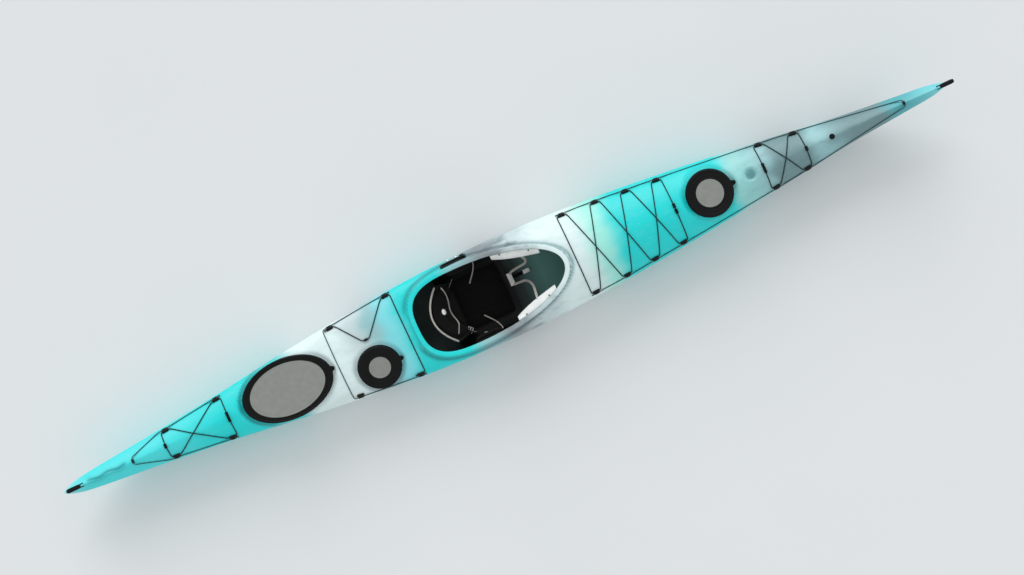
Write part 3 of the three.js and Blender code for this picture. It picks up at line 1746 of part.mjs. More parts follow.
const shells = groupOf(
  piece("hull_shell", makeHullShell(), palePlastic),
  piece("deck_shell_stern", sternDeck, turquoisePlastic),
  piece("deck_shell_aft", aftDeck, turquoisePlastic),
  piece("deck_shell_cockpit", cockpitDeck, turquoisePlastic),
  piece("deck_shell_bow", bowDeck, turquoisePlastic),
  piece("cockpit_coaming", makeCoaming(), turquoisePlastic),
  piece("stern_bulkhead", makeBulkhead(sternBulkheadPlaceShare), foamGrey),
  piece("cockpit_bulkhead", makeBulkhead(cockpitBulkheadPlaceShare), foamGrey),
  piece("bow_bulkhead", makeBulkhead(bowBulkheadPlaceShare), foamGrey),
);

const hatches = groupOf(
  hatchGroup("stern", sternSeat, sternHatchLong, sternHatchWide, sternPlateLong, sternPlateWide),
  hatchGroup("day", daySeat, dayHatchRadius, dayHatchRadius, dayPlateRadius, dayPlateRadius),
  hatchGroup("bow", bowSeat, bowHatchRadius, bowHatchRadius, bowPlateRadius, bowPlateRadius),
  piece("drain_plug", makeDrainPlug(), blackPlastic),
);

const skeg = groupOf(
  piece("skeg_box", makeSkegBox(), blackPlastic),
  piece("skeg_blade", makeSkegBlade(), blackPlastic),
  piece(
    "skeg_pin",
    crossPin(skegPivotX, skegPivotHeight, skegPinRadius, -skegBoxWidth / 2, skegBoxWidth / 2),
    stainless,
  ),
  piece("skeg_cable", tubeAlong(cableRoute, skegCableDiameter, cableSides), blackPlastic),
  piece("skeg_slider_track", makeSliderTrack(), blackPlastic),
  piece("skeg_slider_knob", makeSliderKnob(), blackPlastic),
);

const cockpit = groupOf(
  piece("seat_pan", makeSeatPan(), blackPlastic),
  piece("seat_pad", makeSeatPad(), seatFabric),
  piece("backrest_shell", makeBackrestShell(), blackPlastic),
  piece("backrest_pad", makeBackrestPad(), seatFabric),
);
const footwell = new THREE.Group();
for (const [sideName, side] of [
  ["port", 1],
  ["starboard", -1],
]) {
  cockpit.add(
    piece("hip_pad_" + sideName, makeHipPad(side), seatFabric),
    piece("thigh_brace_" + sideName, makeThighBrace(side), paleBrace),
    piece("backrest_strap_" + sideName, makeStrap(side), seatFabric),
  );
  footwell.add(
    piece("foot_rail_" + sideName, makeRail(side), blackPlastic),
    piece("foot_pedal_" + sideName, makePedal(side), blackPlastic),
  );
}

const rigging = groupOf(
  piece("stern_rigging", makeCrossedRigging(sternPairShares, beadLength, longBeadLength), blackRubber),
  piece("bow_rigging", makeCrossedRigging(bowPairShares, longBeadLength, beadLength), blackRubber),
  piece("foredeck_bungee", makeForedeckBungee(), blackRubber),
  piece("aft_bungee", makeAftBungee(), blackRubber),
  piece("stern_deck_line", makeSternLine(), darkCord),
  piece("aft_deck_line", makeAftLine(), darkCord),
  piece("bow_deck_line", makeBowLine(), darkCord),
  ...zoneFittings("aft", aftPairShares),
  ...zoneFittings("foredeck", foredeckPairShares),
  piece("bow_handle", makeToggle(bowPivotX, 1), blackRubber),
  piece("stern_handle", makeToggle(sternPivotX, -1), blackRubber),
);

export default groupOf(shells, hatches, skeg, cockpit, footwell, rigging);
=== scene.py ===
import json
import math
from math import cos, sin

import bmesh
import bpy
import numpy as np
from mathutils import Matrix, Vector
from numpy.linalg import norm


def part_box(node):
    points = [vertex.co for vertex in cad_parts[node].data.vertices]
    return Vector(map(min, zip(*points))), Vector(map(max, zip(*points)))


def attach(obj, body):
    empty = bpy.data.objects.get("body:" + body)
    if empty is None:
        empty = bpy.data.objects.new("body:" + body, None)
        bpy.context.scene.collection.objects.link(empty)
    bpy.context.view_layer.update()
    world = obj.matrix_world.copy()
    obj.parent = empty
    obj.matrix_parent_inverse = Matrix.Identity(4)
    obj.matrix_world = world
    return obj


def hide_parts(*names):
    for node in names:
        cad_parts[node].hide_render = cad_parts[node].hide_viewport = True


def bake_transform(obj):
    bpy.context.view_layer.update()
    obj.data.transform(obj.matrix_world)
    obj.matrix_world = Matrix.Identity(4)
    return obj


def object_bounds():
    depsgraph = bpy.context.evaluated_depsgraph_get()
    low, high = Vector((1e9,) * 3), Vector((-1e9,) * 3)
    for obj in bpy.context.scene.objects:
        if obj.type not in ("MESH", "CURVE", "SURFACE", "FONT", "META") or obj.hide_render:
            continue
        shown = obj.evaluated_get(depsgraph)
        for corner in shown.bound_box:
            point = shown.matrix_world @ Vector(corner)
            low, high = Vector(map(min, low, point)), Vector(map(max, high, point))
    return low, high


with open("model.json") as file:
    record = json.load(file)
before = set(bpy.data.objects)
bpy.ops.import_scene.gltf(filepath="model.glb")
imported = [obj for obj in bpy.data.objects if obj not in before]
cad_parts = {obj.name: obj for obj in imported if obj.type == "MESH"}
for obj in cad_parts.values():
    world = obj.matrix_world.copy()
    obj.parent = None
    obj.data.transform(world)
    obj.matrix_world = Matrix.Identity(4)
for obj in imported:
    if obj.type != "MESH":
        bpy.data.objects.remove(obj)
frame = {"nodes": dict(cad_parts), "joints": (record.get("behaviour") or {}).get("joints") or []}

cad_low, cad_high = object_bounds()

# The boat's frame: metres, +X to the bow, +Y to port, +Z up
overall_length = cad_high.x - cad_low.x
half_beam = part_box("hull_shell")[1].y
stern_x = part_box("hull_shell")[0].x
bow_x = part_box("hull_shell")[1].x
sheer_height = 0.185
foredeck_height = 0.338
stern_stem_height = 0.235
stern_rake = 1.300
bow_stem_height = 0.305
bow_rake = 1.500
shell_wall = 0.0052
keel_flat = 0.022
keel_flat_share = 0.3
stem_curve = 4.5
stem_round = 0.020
seat_gap = 0.0003
running_gap = 0.0006

# Tables of (place, share): of the half beam, the sheer height and the foredeck height,
# and of how full a section is
half_beam_shares = [
    (0, 0.035), (0.01, 0.1), (0.02, 0.148), (0.045, 0.208), (0.1, 0.31), (0.18, 0.478), (0.26, 0.685),
    (0.34, 0.855), (0.42, 0.966), (0.5, 1), (0.56, 0.962), (0.64, 0.85), (0.72, 0.69), (0.8, 0.5),
    (0.88, 0.3), (0.94, 0.184), (0.975, 0.118), (0.992, 0.04),
]
sheer_shares = [
    (0, 1.42), (0.1, 1.27), (0.2, 1.13), (0.35, 1.02), (0.5, 1), (0.65, 1.05), (0.8, 1.24), (0.9, 1.47),
    (0.992, 1.82),
]
deck_shares = [
    (0, 0.888), (0.1, 0.852), (0.2, 0.814), (0.3, 0.775), (0.385, 0.76), (0.46, 0.858), (0.565, 1),
    (0.62, 0.976), (0.73, 0.935), (0.8, 0.945), (0.9, 0.993), (0.97, 1.053), (0.992, 1.071),
]
bilge_fullness_shares = [
    (0, 1.15), (0.1, 1.4), (0.25, 2), (0.5, 2.7), (0.75, 2), (0.9, 1.4), (0.992, 1.15),
]
crown_fullness_shares = [
    (0, 1.2), (0.15, 1.45), (0.3, 1.9), (0.4, 2.3), (0.5, 2.2), (0.58, 1.8), (0.7, 1.6), (0.85, 1.4),
    (0.992, 1.2),
]

# Cockpit coaming
coaming_rear_x = (0.4 - 0.5) * overall_length
coaming_wide_x = (0.455 - 0.5) * overall_length
coaming_front_x = (0.563 - 0.5) * overall_length
coaming_half_width = 0.205
coaming_wall = 0.005
coaming_rise = 0.024
coaming_drop = 0.012
coaming_lip = 0.020
coaming_lip_thickness = 0.0055
coaming_flange = 0.012
coaming_flange_thickness = 0.003
coaming_rear_fullness = 3
coaming_front_fullness = 2.05

# Hatches: half sizes of cover and plate, and the levels above the seat that they share
hatches = {
    "stern": {"long": 0.254, "wide": 0.162, "plate_long": 0.211, "plate_wide": 0.136},
    "day": {"long": 0.118, "wide": 0.118, "plate_long": 0.059, "plate_wide": 0.059},
    "bow": {"long": 0.128, "wide": 0.128, "plate_long": 0.075, "plate_wide": 0.075},
}
seat_margin = 0.006
seat_flare = 0.024
rim_mouth_inset = 0.022
rim_wall = 0.005
rim_flange = 0.019
rim_flange_thickness = 0.004
rim_drop = 0.008
rim_height = 0.015
cover_skirt = 0.006
cover_skirt_drop = 0.010
cover_height = 0.009
cover_web = 0.0032
plate_thickness = 0.003
plate_level = rim_height + seat_gap + cover_web + seat_gap + plate_thickness / 2
tab_length = 0.022
tab_width = 0.030
tab_thickness = 0.004

# Deck mouldings besides the hatch seats
moat_distance = 0.044
moat_width = 0.010
moat_depth = 0.0055
moat_loss = 0.9
moat_return = (0.02, 0.20)
moat_middle = (0.06, 0.13)
ledge_distance = 0.030
# Where the ring of painted shadow just outside the coaming's lip lies
coaming_foot_distance = 0.027
coaming_foot_width = 0.005
ledge_lift = 0.002
gunwale_margin = 0.014
compass_x = (0.774 - 0.5) * overall_length
compass_radius = 0.034
compass_depth = 0.010
compass_inner_slope = 0.006
compass_outer_slope = 0.004
compass_rim_distance = 0.008
compass_rim_width = 0.005
compass_rim_lift = 0.0015
# How far the painted shade of the compass dish reaches beyond it
compass_shade_slope = 0.014
groove_start_x = (0.024 - 0.5) * overall_length
groove_end_x = (0.068 - 0.5) * overall_length
groove_width = 0.006
# How wide the painted shade of the stern's groove lies
groove_shade_width = 0.016
groove_depth = 0.006
groove_wave = 0.004
groove_wave_length = 0.11
groove_fade_in = 0.03
groove_fade_out = 0.02

# Rigging
bungee_radius = 0.003
line_radius = 0.0025
bore_spread = 0.0062
bore_level = 0.007
fitting_length = 0.040
fitting_width = 0.025
fitting_height = 0.013
fitting_screw_distance = 0.0135
padeye_length = 0.026
padeye_width = 0.014
padeye_screw_distance = 0.009
screw_sink = 0.0004
stand_off = 0.0025
cord_bend = 0.009
across_lead = 0.034
bead_radius = 0.009
bead_length = 0.026
long_bead_length = 0.056
bead_spacing = 0.032
first_bead_offset = -0.012
knot_radius = 0.006
stern_pairs = [(0.12, 0.785), (0.18, 0.855)]
aft_pairs = [(0.3165, 0.912), (0.382, 0.93)]
foredeck_pairs = [(0.581, 0.888), (0.6175, 0.888), (0.6505, 0.876), (0.684, 0.874)]
bow_pairs = [(0.794, 0.873), (0.831, 0.87)]
hook_place = 0.346
hook_offset = 0.062
bow_padeye_place = 0.945
stern_padeye_place = 0.078

hands = (("port", 1), ("starboard", -1))
TAU = 2 * math.pi
tiny = 1e-9


def smooth_share(table, place):
    """The value of a table at a place, on one smooth curve through its points"""
    places, shares = np.array(table, float).T
    place = np.clip(np.asarray(place, float), places[0], places[-1])
    last = len(places) - 1
    before = np.maximum(np.arange(last + 1) - 1, 0)
    after = np.minimum(np.arange(last + 1) + 1, last)
    tangent = (shares[after] - shares[before]) / (places[after] - places[before])
    i = np.clip(np.searchsorted(places, place) - 1, 0, last - 1)
    span = places[i + 1] - places[i]
    t = (place - places[i]) / span
    start = (2 * t**3 - 3 * t**2 + 1) * shares[i]
    leave = (t**3 - 2 * t**2 + t) * span * tangent[i]
    end = (3 * t**2 - 2 * t**3) * shares[i + 1]
    arrive = (t**3 - t**2) * span * tangent[i + 1]
    return start + leave + end + arrive


def circle_angles(count):
    return np.linspace(0, TAU, count, endpoint=False)


def smooth_step(low, high, value):
    t = np.clip((value - low) / (high - low), 0, 1)
    return t * t * (3 - 2 * t)


def band(value, middle, width):
    """A soft band: 1 on its middle, fading away over its width"""
    return np.exp(-(((value - middle) / width) ** 2))


def place_of(x):
    return np.asarray(x, float) / overall_length + 0.5


def x_of(place):
    return (place - 0.5) * overall_length


def half_beam_at(x):
    return half_beam * smooth_share(half_beam_shares, place_of(x))


def sheer_at(x):
    return sheer_height * smooth_share(sheer_shares, place_of(x))


def keel_at(x):
    stern_rise = np.maximum(0, 1 - (x - stern_x) / stern_rake) ** stem_curve
    bow_rise = np.maximum(0, 1 - (bow_x - x) / bow_rake) ** stem_curve
    return stern_stem_height * stern_rise + bow_stem_height * bow_rise


def crown_height(x, y):
    """The plain crowned deck over a point of the plan"""
    place = place_of(x)
    out = np.clip(np.abs(y) / half_beam_at(x), 0, 1)
    fullness = smooth_share(crown_fullness_shares, place)
    rise = foredeck_height * smooth_share(deck_shares, place) - sheer_at(x)
    return sheer_at(x) + rise * (1 - out**fullness) ** (1 / fullness)


class Outline:
    """A closed curve in plan, as a level that is 1 on it, about a centre"""

    def __init__(self, x, y, level):
        self.x = x
        self.y = y
        self.level = level

    def distance(self, x, y):
        dx, dy = x - self.x, y - self.y
        return np.hypot(dx, dy) * (1 - 1 / np.maximum(self.level(dx, dy), tiny))

    def pushed(self, x, y, distance):
        """The point moved from the centre until it lies at a distance outside the curve"""
        dx, dy = x - self.x, y - self.y
        reach = np.maximum(np.hypot(dx, dy), tiny)
        k = 1 / np.maximum(self.level(dx, dy), tiny) + distance / reach
        return self.x + dx * k, self.y + dy * k


def coaming_level(dx, dy):
    front = dx > 0
    length = np.where(front, coaming_front_x - coaming_wide_x, coaming_wide_x - coaming_rear_x)
    power = np.where(front, coaming_front_fullness, coaming_rear_fullness)
    share = (np.abs(dx) / length) ** power + (np.abs(dy) / coaming_half_width) ** power
    return share ** (1 / power)


def oval_level(long, wide):
    return lambda dx, dy: np.hypot(dx / long, dy / wide)


coaming_outline = Outline(coaming_wide_x, 0.0, coaming_level)

joint_axes = {joint["name"]: Vector(joint["axis"]).normalized() for joint in frame["joints"]}


class HatchSeat:
    """The flat seat of a hatch in the deck, placed by the hatch plate and the way that it lifts off"""

    def __init__(self, name, sizes):
        low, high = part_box(name + "_hatch_plate")
        up = joint_axes[name + "_cover_lift"]
        along = Vector((0, 1, 0)).cross(up).normalized()
        across = up.cross(along)
        self.up = up
        self.origin = (low + high) / 2 - up * plate_level
        turn = Matrix((along, across, up)).transposed()
        self.matrix = Matrix.Translation(self.origin) @ turn.to_4x4()
        reach = oval_level(sizes["long"] + seat_margin, sizes["wide"] + seat_margin)
        self.edge = Outline(self.origin.x, self.origin.y, reach)
        self.cover = Outline(self.origin.x, self.origin.y, oval_level(sizes["long"], sizes["wide"]))

    def plane(self, x, y):
        slope = self.up.x * (x - self.origin.x) + self.up.y * (y - self.origin.y)
        return self.origin.z - slope / self.up.z


seats = {name: HatchSeat(name, sizes) for name, sizes in hatches.items()}


def groove_share(x, y, width):
    """How near a point of the plan lies to the stern's shallow wavy groove"""
    middle = groove_wave * np.sin((x - groove_start_x) * TAU / groove_wave_length)
    along = smooth_step(groove_start_x, groove_start_x + groove_fade_in, x)
    along = along * (1 - smooth_step(groove_end_x, groove_end_x + groove_fade_out, x))
    return along * band(y, middle, width)


def moat_share(x, y, away):
    """How near a point lies to the moat round the coaming; little of it is left over the bulkhead aft"""
    rear = 1 - smooth_step(coaming_rear_x + moat_return[0], coaming_rear_x + moat_return[1], x)
    kept = 1 - moat_loss * rear * (1 - smooth_step(*moat_middle, np.abs(y)))
    return band(away, moat_distance, moat_width) * kept


def deck_height(x, y):
    """The moulded deck: the crown with its hatch seats, the coaming's moat and the small recesses"""
    x = np.asarray(x, float)
    y = np.asarray(y, float)
    z = crown_height(x, y)
    inside_gunwale = smooth_step(0, gunwale_margin, half_beam_at(x) - np.abs(y))
    for seat in seats.values():
        away = seat.edge.distance(x, y)
        weight = (1 - smooth_step(0, seat_flare, away)) * inside_gunwale
        z = z + (seat.plane(x, y) - z) * weight
    away = coaming_outline.distance(x, y)
    ledge = band(away, ledge_distance, moat_width)
    z = z - moat_depth * moat_share(x, y, away) * inside_gunwale + ledge_lift * ledge * inside_gunwale
    beyond = np.hypot(x - compass_x, y) - compass_radius
    dish = 1 - smooth_step(-compass_inner_slope, compass_outer_slope, beyond)
    rim = band(beyond, compass_rim_distance, compass_rim_width)
    z = z - compass_depth * dish + compass_rim_lift * rim
    return z - groove_depth * groove_share(x, y, groove_width)


def level_at(x, y):
    return float(deck_height(x, y))


def flank_share(seat, x, y, foot):
    """How far a point lies on the sloped flank round a hatch seat"""
    beside = seat.edge.distance(x, y)
    return smooth_step(-0.004, 0.003, beside) * (1 - smooth_step(foot, seat_flare, beside))


def recess_shade_share(x, y):
    """How dark the painted shade lies on a point of the deck: in the coaming's moat, in the ring of shadow
    just outside its lip, on the flanks of the hatch seats (most behind the stern seat), in the compass dish
    and in the stern's groove
    """
    away = coaming_outline.distance(x, y)
    foot = band(away, coaming_foot_distance, coaming_foot_width)
    stern = seats["stern"]
    behind = smooth_step(0.0, 0.22, stern.origin.x - x)
    shares = [
        moat_share(x, y, away),
        (0.45 + 0.55 * smooth_step(0.02, 0.22, x)) * foot,
        flank_share(stern, x, y, 0.012) * (0.25 + 0.75 * behind),
        0.35 * flank_share(seats["day"], x, y, 0.008),
        0.35 * flank_share(seats["bow"], x, y, 0.008),
        1 - smooth_step(-compass_shade_slope, 0, np.hypot(x - compass_x, y) - compass_radius),
        0.75 * groove_share(x, y, groove_shade_width),
    ]
    return np.max(shares, axis=0)


def srgb(red, green, blue):
    """A colour written as it is seen, 0 to 255, as the renderer takes it"""
    out = []
    for value in (red, green, blue):
        share = value / 255
        out.append(share / 12.92 if share <= 0.04045 else ((share + 0.055) / 1.055) ** 2.4)
    return (*out, 1.0)


# Camera
deck_level = 0.30
picture_width = 5.418
picture_ahead = 0.0252
picture_below = 0.0014
lens = 85
sensor = 36
course = math.radians(24.94)
lean = math.radians(2.5)


def put_in_scene(name, data):
    thing = bpy.data.objects.new(name, data)
    bpy.context.scene.collection.objects.link(thing)
    return thing


def make_camera():
    aside = Vector((0, cos(lean), -sin(lean)))
    ahead = Vector((1, 0, 0))
    back = Vector((0, sin(lean), cos(lean)))
    right = ahead * cos(course) - aside * sin(course)
    up = ahead * sin(course) + aside * cos(course)
    middle = Vector((0, 0, deck_level)) + right * picture_ahead - up * picture_below
    distance = picture_width / sensor * lens
    data = bpy.data.cameras.new("camera")
    data.lens = lens
    data.sensor_width = sensor
    data.clip_end = 100
    camera = put_in_scene("camera", data)
    turn = Matrix((right, up, back)).transposed().to_4x4()
    camera.matrix_world = Matrix.Translation(middle + back * distance) @ turn
    bpy.context.scene.camera = camera


make_camera()

# Materials

def new_material(name):
    material = bpy.data.materials.new(name)
    material.use_nodes = True
    return material, material.node_tree, material.node_tree.nodes["Principled BSDF"]


def feed(tree, node, inputs):
    """Links sockets into a node's inputs, and sets plain values on the inputs themselves"""
    for key, value in inputs.items():
        if isinstance(value, bpy.types.NodeSocket):
            tree.links.new(value, node.inputs[key])
        else:
            node.inputs[key].default_value = value


def add_node(tree, kind, inputs=None, **settings):
    node = tree.nodes.new(kind)
    for key, value in settings.items():
        setattr(node, key, value)
    feed(tree, node, inputs or {})
    return node


def object_place(tree):
    return add_node(tree, "ShaderNodeTexCoord").outputs["Object"]


def ranged(tree, value, low, high, start, end):
    """Start up to low, end from high on, and evenly between them"""
    return add_node(tree, "ShaderNodeMapRange", {0: value, 1: low, 2: high, 3: start, 4: end}).outputs[0]


def new_group(name, inputs, outputs):
    """A shader group with named sockets: inputs are (name, kind, value), outputs (name, kind)"""
    tree = bpy.data.node_groups.new(name, "ShaderNodeTree")
    for socket_name, kind, value in inputs:
        socket = tree.interface.new_socket(socket_name, in_out="INPUT", socket_type="NodeSocket" + kind)
        if value is not None:
            socket.default_value = value
    for socket_name, kind in outputs:
        tree.interface.new_socket(socket_name, in_out="OUTPUT", socket_type="NodeSocket" + kind)
    return tree, tree.nodes.new("NodeGroupInput"), tree.nodes.new("NodeGroupOutput")


def math_node(tree, operation, a, b=0.0, clamp=False):
    node = add_node(tree, "ShaderNodeMath", {0: a, 1: b}, operation=operation, use_clamp=clamp)
    return node.outputs[0]


def times(tree, a, b, clamp=False):
    return math_node(tree, "MULTIPLY", a, b, clamp)


def plus(tree, a, b, clamp=False):
    return math_node(tree, "ADD", a, b, clamp)


def less(tree, a, b):
    return math_node(tree, "SUBTRACT", a, b)


def larger(tree, a, b):
    return math_node(tree, "MAXIMUM", a, b)


def mix_colour(tree, factor, a, b, blend="MIX"):
    node = add_node(tree, "ShaderNodeMix", {0: factor, 6: a, 7: b}, data_type="RGBA", blend_type=blend)
    return node.outputs[2]


def noise(tree, vector, scale, detail=2.0, roughness=0.5):
    inputs = {"Vector": vector, "Scale": scale, "Detail": detail, "Roughness": roughness}
    return add_node(tree, "ShaderNodeTexNoise", inputs).outputs["Fac"]


def make_moulding_group():
    """The skin of moulded plastic: orange peel and dull patches"""
    tree, into, out = new_group(
        "moulded_skin",
        [("Peel Size", "Float", 0.004), ("Roughness", "Float", 0.3), ("Spread", "Float", 0.08)],
        [("Height", "Float"), ("Roughness", "Float")],
    )
    where = object_place(tree)
    scale = math_node(tree, "DIVIDE", 1.0, into.outputs["Peel Size"])
    peel = noise(tree, where, scale, 1.5)
    patch = noise(tree, where, 9.0, 3.0)
    spread = times(tree, less(tree, patch, 0.5), into.outputs["Spread"])
    roughness = plus(tree, into.outputs["Roughness"], spread)
    feed(tree, out, {"Height": peel, "Roughness": roughness})
    return tree


def make_scratch_group():
    """Fine scratches and scuffs, as a mask"""
    inputs = [("Density", "Float", 0.5), ("Length", "Float", 12.0)]
    tree, into, out = new_group("scuffs", inputs, [("Mask", "Float")])
    where = object_place(tree)
    masks = []
    for turn in (0.2, 1.1, 2.3):
        mapping = {"Vector": where, "Rotation": (0, 0, turn), "Scale": (1, 30, 30)}
        stretched = add_node(tree, "ShaderNodeMapping", mapping).outputs[0]
        streak = noise(tree, stretched, into.outputs["Length"], 2.0)
        masks.append(math_node(tree, "GREATER_THAN", streak, 0.69))
    every = larger(tree, larger(tree, masks[0], masks[1]), masks[2])
    patchy = math_node(tree, "GREATER_THAN", noise(tree, where, 6.0, 3.0), 0.52)
    mask = times(tree, every, patchy)
    feed(tree, out, {"Mask": times(tree, mask, into.outputs["Density"])})
    return tree


def make_weave_group():
    """Plain woven cloth, as a height and a mask of its threads"""
    tree, into, out = new_group(
        "weave", [("Pitch", "Float", 0.0016)], [("Height", "Float"), ("Mask", "Float")]
    )
    where = object_place(tree)
    apart = add_node(tree, "ShaderNodeSeparateXYZ", {0: where})
    turns = math_node(tree, "DIVIDE", TAU, into.outputs["Pitch"])
    slant = plus(tree, apart.outputs["X"], times(tree, apart.outputs["Z"], 0.7))
    cross = plus(tree, apart.outputs["Y"], times(tree, apart.outputs["Z"], 0.7))
    warp = math_node(tree, "SINE", times(tree, slant, turns))
    weft = math_node(tree, "SINE", times(tree, cross, turns))
    height = times(tree, warp, weft)
    feed(tree, out, {"Height": height, "Mask": math_node(tree, "MULTIPLY_ADD", height, 0.5)})
    return tree


def make_dust_group():
    """Pale dust that settles on faces turned upwards, as a mask"""
    tree, into, out = new_group("settled_dust", [("Amount", "Float", 0.3)], [("Mask", "Float")])
    normal = add_node(tree, "ShaderNodeNewGeometry").outputs["Normal"]
    up = add_node(tree, "ShaderNodeSeparateXYZ", {0: normal}).outputs["Z"]
    where = object_place(tree)
    cloud = noise(tree, where, 25.0, 4.0, 0.65)
    facing = times(tree, larger(tree, up, 0.0), cloud)
    feed(tree, out, {"Mask": times(tree, facing, into.outputs["Amount"])})
    return tree


moulded_skin = make_moulding_group()
scuffs = make_scratch_group()
weave = make_weave_group()
settled_dust = make_dust_group()


def use_group(tree, group, **inputs):
    node = tree.nodes.new("ShaderNodeGroup")
    node.node_tree = group
    for key, value in inputs.items():
        node.inputs[key.replace("_", " ")].default_value = value
    return node


def bump_into(tree, shader, height, distance, strength):
    inputs = {"Height": height, "Distance": distance, "Strength": strength}
    feed(tree, shader, {"Normal": add_node(tree, "ShaderNodeBump", inputs).outputs[0]})


turquoise = srgb(10, 218, 218)
# Paler turquoise of the stern, partly a painted sheen
turquoise_with_painted_sheen = srgb(66, 224, 227)
deep_turquoise = srgb(80, 174, 182)
pale_aqua = srgb(126, 222, 230)
milky_aqua = srgb(148, 196, 200)
shell_white = srgb(224, 243, 243)
dull_white = srgb(196, 214, 216)
mint_white = srgb(160, 238, 226)
milky_mint = srgb(150, 216, 214)
grey_green = srgb(112, 146, 150)
smoke_grey = srgb(140, 150, 155)
shade_grey = srgb(62, 82, 87)
# Painted shade for the inside of the hull behind the seat
inner_painted_shade = srgb(16, 24, 24)
inner_green = srgb(108, 166, 159)
# Painted shade, multiplied into the deck's colour in its recesses
painted_shade_tint = (0.36, 0.48, 0.50, 1.0)
dust_grey = srgb(170, 172, 170)

# Where each colour of the blended plastic lies, as a share of the boat's length from the stern; the paler
# stops at the stern are partly the plastic's own blend and partly a painted sheen
colour_shares = [
    (0.0, pale_aqua), (0.03, turquoise_with_painted_sheen), (0.11, turquoise_with_painted_sheen), (0.18, turquoise),
    (0.250, turquoise), (0.272, shell_white), (0.315, shell_white), (0.338, dull_white),
    (0.357, milky_aqua), (0.375, pale_aqua), (0.394, turquoise), (0.438, turquoise),
    (0.462, milky_aqua), (0.492, smoke_grey), (0.528, dull_white), (0.553, shell_white),
    (0.580, shell_white), (0.605, mint_white), (0.632, turquoise), (0.744, turquoise),
    (0.762, milky_mint), (0.790, milky_aqua), (0.805, grey_green), (0.835, grey_green),
    (0.852, milky_aqua), (0.885, grey_green), (0.918, grey_green), (0.94, deep_turquoise),
    (0.985, pale_aqua), (1.0, pale_aqua),
]


def make_blended_plastic():
    """Rotomoulded plastic whose colours run into each other along the boat, with painted shade multiplied
    in where the deck has recesses
    """
    material, tree, shader = new_material("blended_plastic")
    where = object_place(tree)
    apart = add_node(tree, "ShaderNodeSeparateXYZ", {0: where})
    place = plus(tree, math_node(tree, "DIVIDE", apart.outputs["X"], overall_length), 0.5)
    squeezed = add_node(tree, "ShaderNodeMapping", {"Vector": where, "Scale": (1.0, 2.4, 2.4)}).outputs[0]
    drift = less(tree, noise(tree, squeezed, 2.6, 3.0, 0.55), 0.5)
    place = plus(tree, place, times(tree, drift, 0.035))
    ramp = add_node(tree, "ShaderNodeValToRGB", {0: place})
    ramp.color_ramp.interpolation = "EASE"
    elements = ramp.color_ramp.elements
    elements.remove(elements[1])
    elements[0].position, elements[0].color = colour_shares[0]
    for position, colour in colour_shares[1:]:
        elements.new(position).color = colour
    # Smoke of grey in the pale stretches, strongest towards the bow and beside the cockpit
    smoke = ranged(tree, noise(tree, squeezed, 8.0, 5.0, 0.62), 0.48, 0.68, 0.0, 1.0)
    towards_bow = ranged(tree, place, 0.74, 0.82, 0.10, 0.66)
    from_cockpit = math_node(tree, "ABSOLUTE", less(tree, place, 0.505))
    beside_cockpit = ranged(tree, from_cockpit, 0.016, 0.05, 0.75, 0.0)
    smokiness = larger(tree, towards_bow, beside_cockpit)
    red = add_node(tree, "ShaderNodeSeparateColor", {0: ramp.outputs[0]}).outputs[0]
    pale = ranged(tree, red, 0.12, 0.5, 0.0, 1.0)
    amount = times(tree, times(tree, smoke, smokiness), pale, clamp=True)
    colour = mix_colour(tree, amount, ramp.outputs[0], shade_grey)
    streak = less(tree, noise(tree, squeezed, 14.0, 4.0, 0.6), 0.5)
    lighter = times(tree, streak, 0.12)
    colour = mix_colour(tree, larger(tree, lighter, 0.0), colour, shell_white)
    # Painted shade in the deck's recesses, read from the deck's point attribute
    painted_recess_shade = add_node(tree, "ShaderNodeAttribute", attribute_name="painted_recess_shade").outputs["Fac"]
    colour = mix_colour(tree, painted_recess_shade, colour, painted_shade_tint, "MULTIPLY")
    scratch = use_group(tree, scuffs, Density=0.16, Length=10.0)
    colour = mix_colour(tree, scratch.outputs[0], colour, shell_white)
    skin = use_group(tree, moulded_skin, Peel_Size=0.006, Roughness=0.43, Spread=0.12)
    dull = times(tree, scratch.outputs[0], 0.6)
    rough = plus(tree, skin.outputs["Roughness"], dull)
    bump_into(tree, shader, skin.outputs["Height"], 0.0004, 0.35)
    feed(tree, shader, {
        "Base Color": colour, "Roughness": rough, "Specular IOR Level": 0.42,
        "Coat Weight": 0.06, "Coat Roughness": 0.22,
    })
    return material


def make_inner_plastic():
    """The unpolished inside of the mouldings, mottled, grey green before the seat and black behind it,
    where the black is painted shade
    """
    material, tree, shader = new_material("inner_plastic")
    where = object_place(tree)
    along = add_node(tree, "ShaderNodeSeparateXYZ", {0: where}).outputs["X"]
    # Painted shade: black aft, fading to the grey green forward
    forward = ranged(tree, along, x_of(0.515), x_of(0.54), 0.0, 0.85)
    mottle = times(tree, noise(tree, where, 16.0, 4.0, 0.6), 0.15)
    shade = plus(tree, forward, mottle, clamp=True)
    colour = mix_colour(tree, shade, inner_painted_shade, inner_green)
    skin = use_group(tree, moulded_skin, Peel_Size=0.004, Roughness=0.6, Spread=0.1)
    feed(tree, shader, {"Base Color": colour, "Roughness": skin.outputs["Roughness"]})
    bump_into(tree, shader, skin.outputs["Height"], 0.0004, 0.5)
    return material


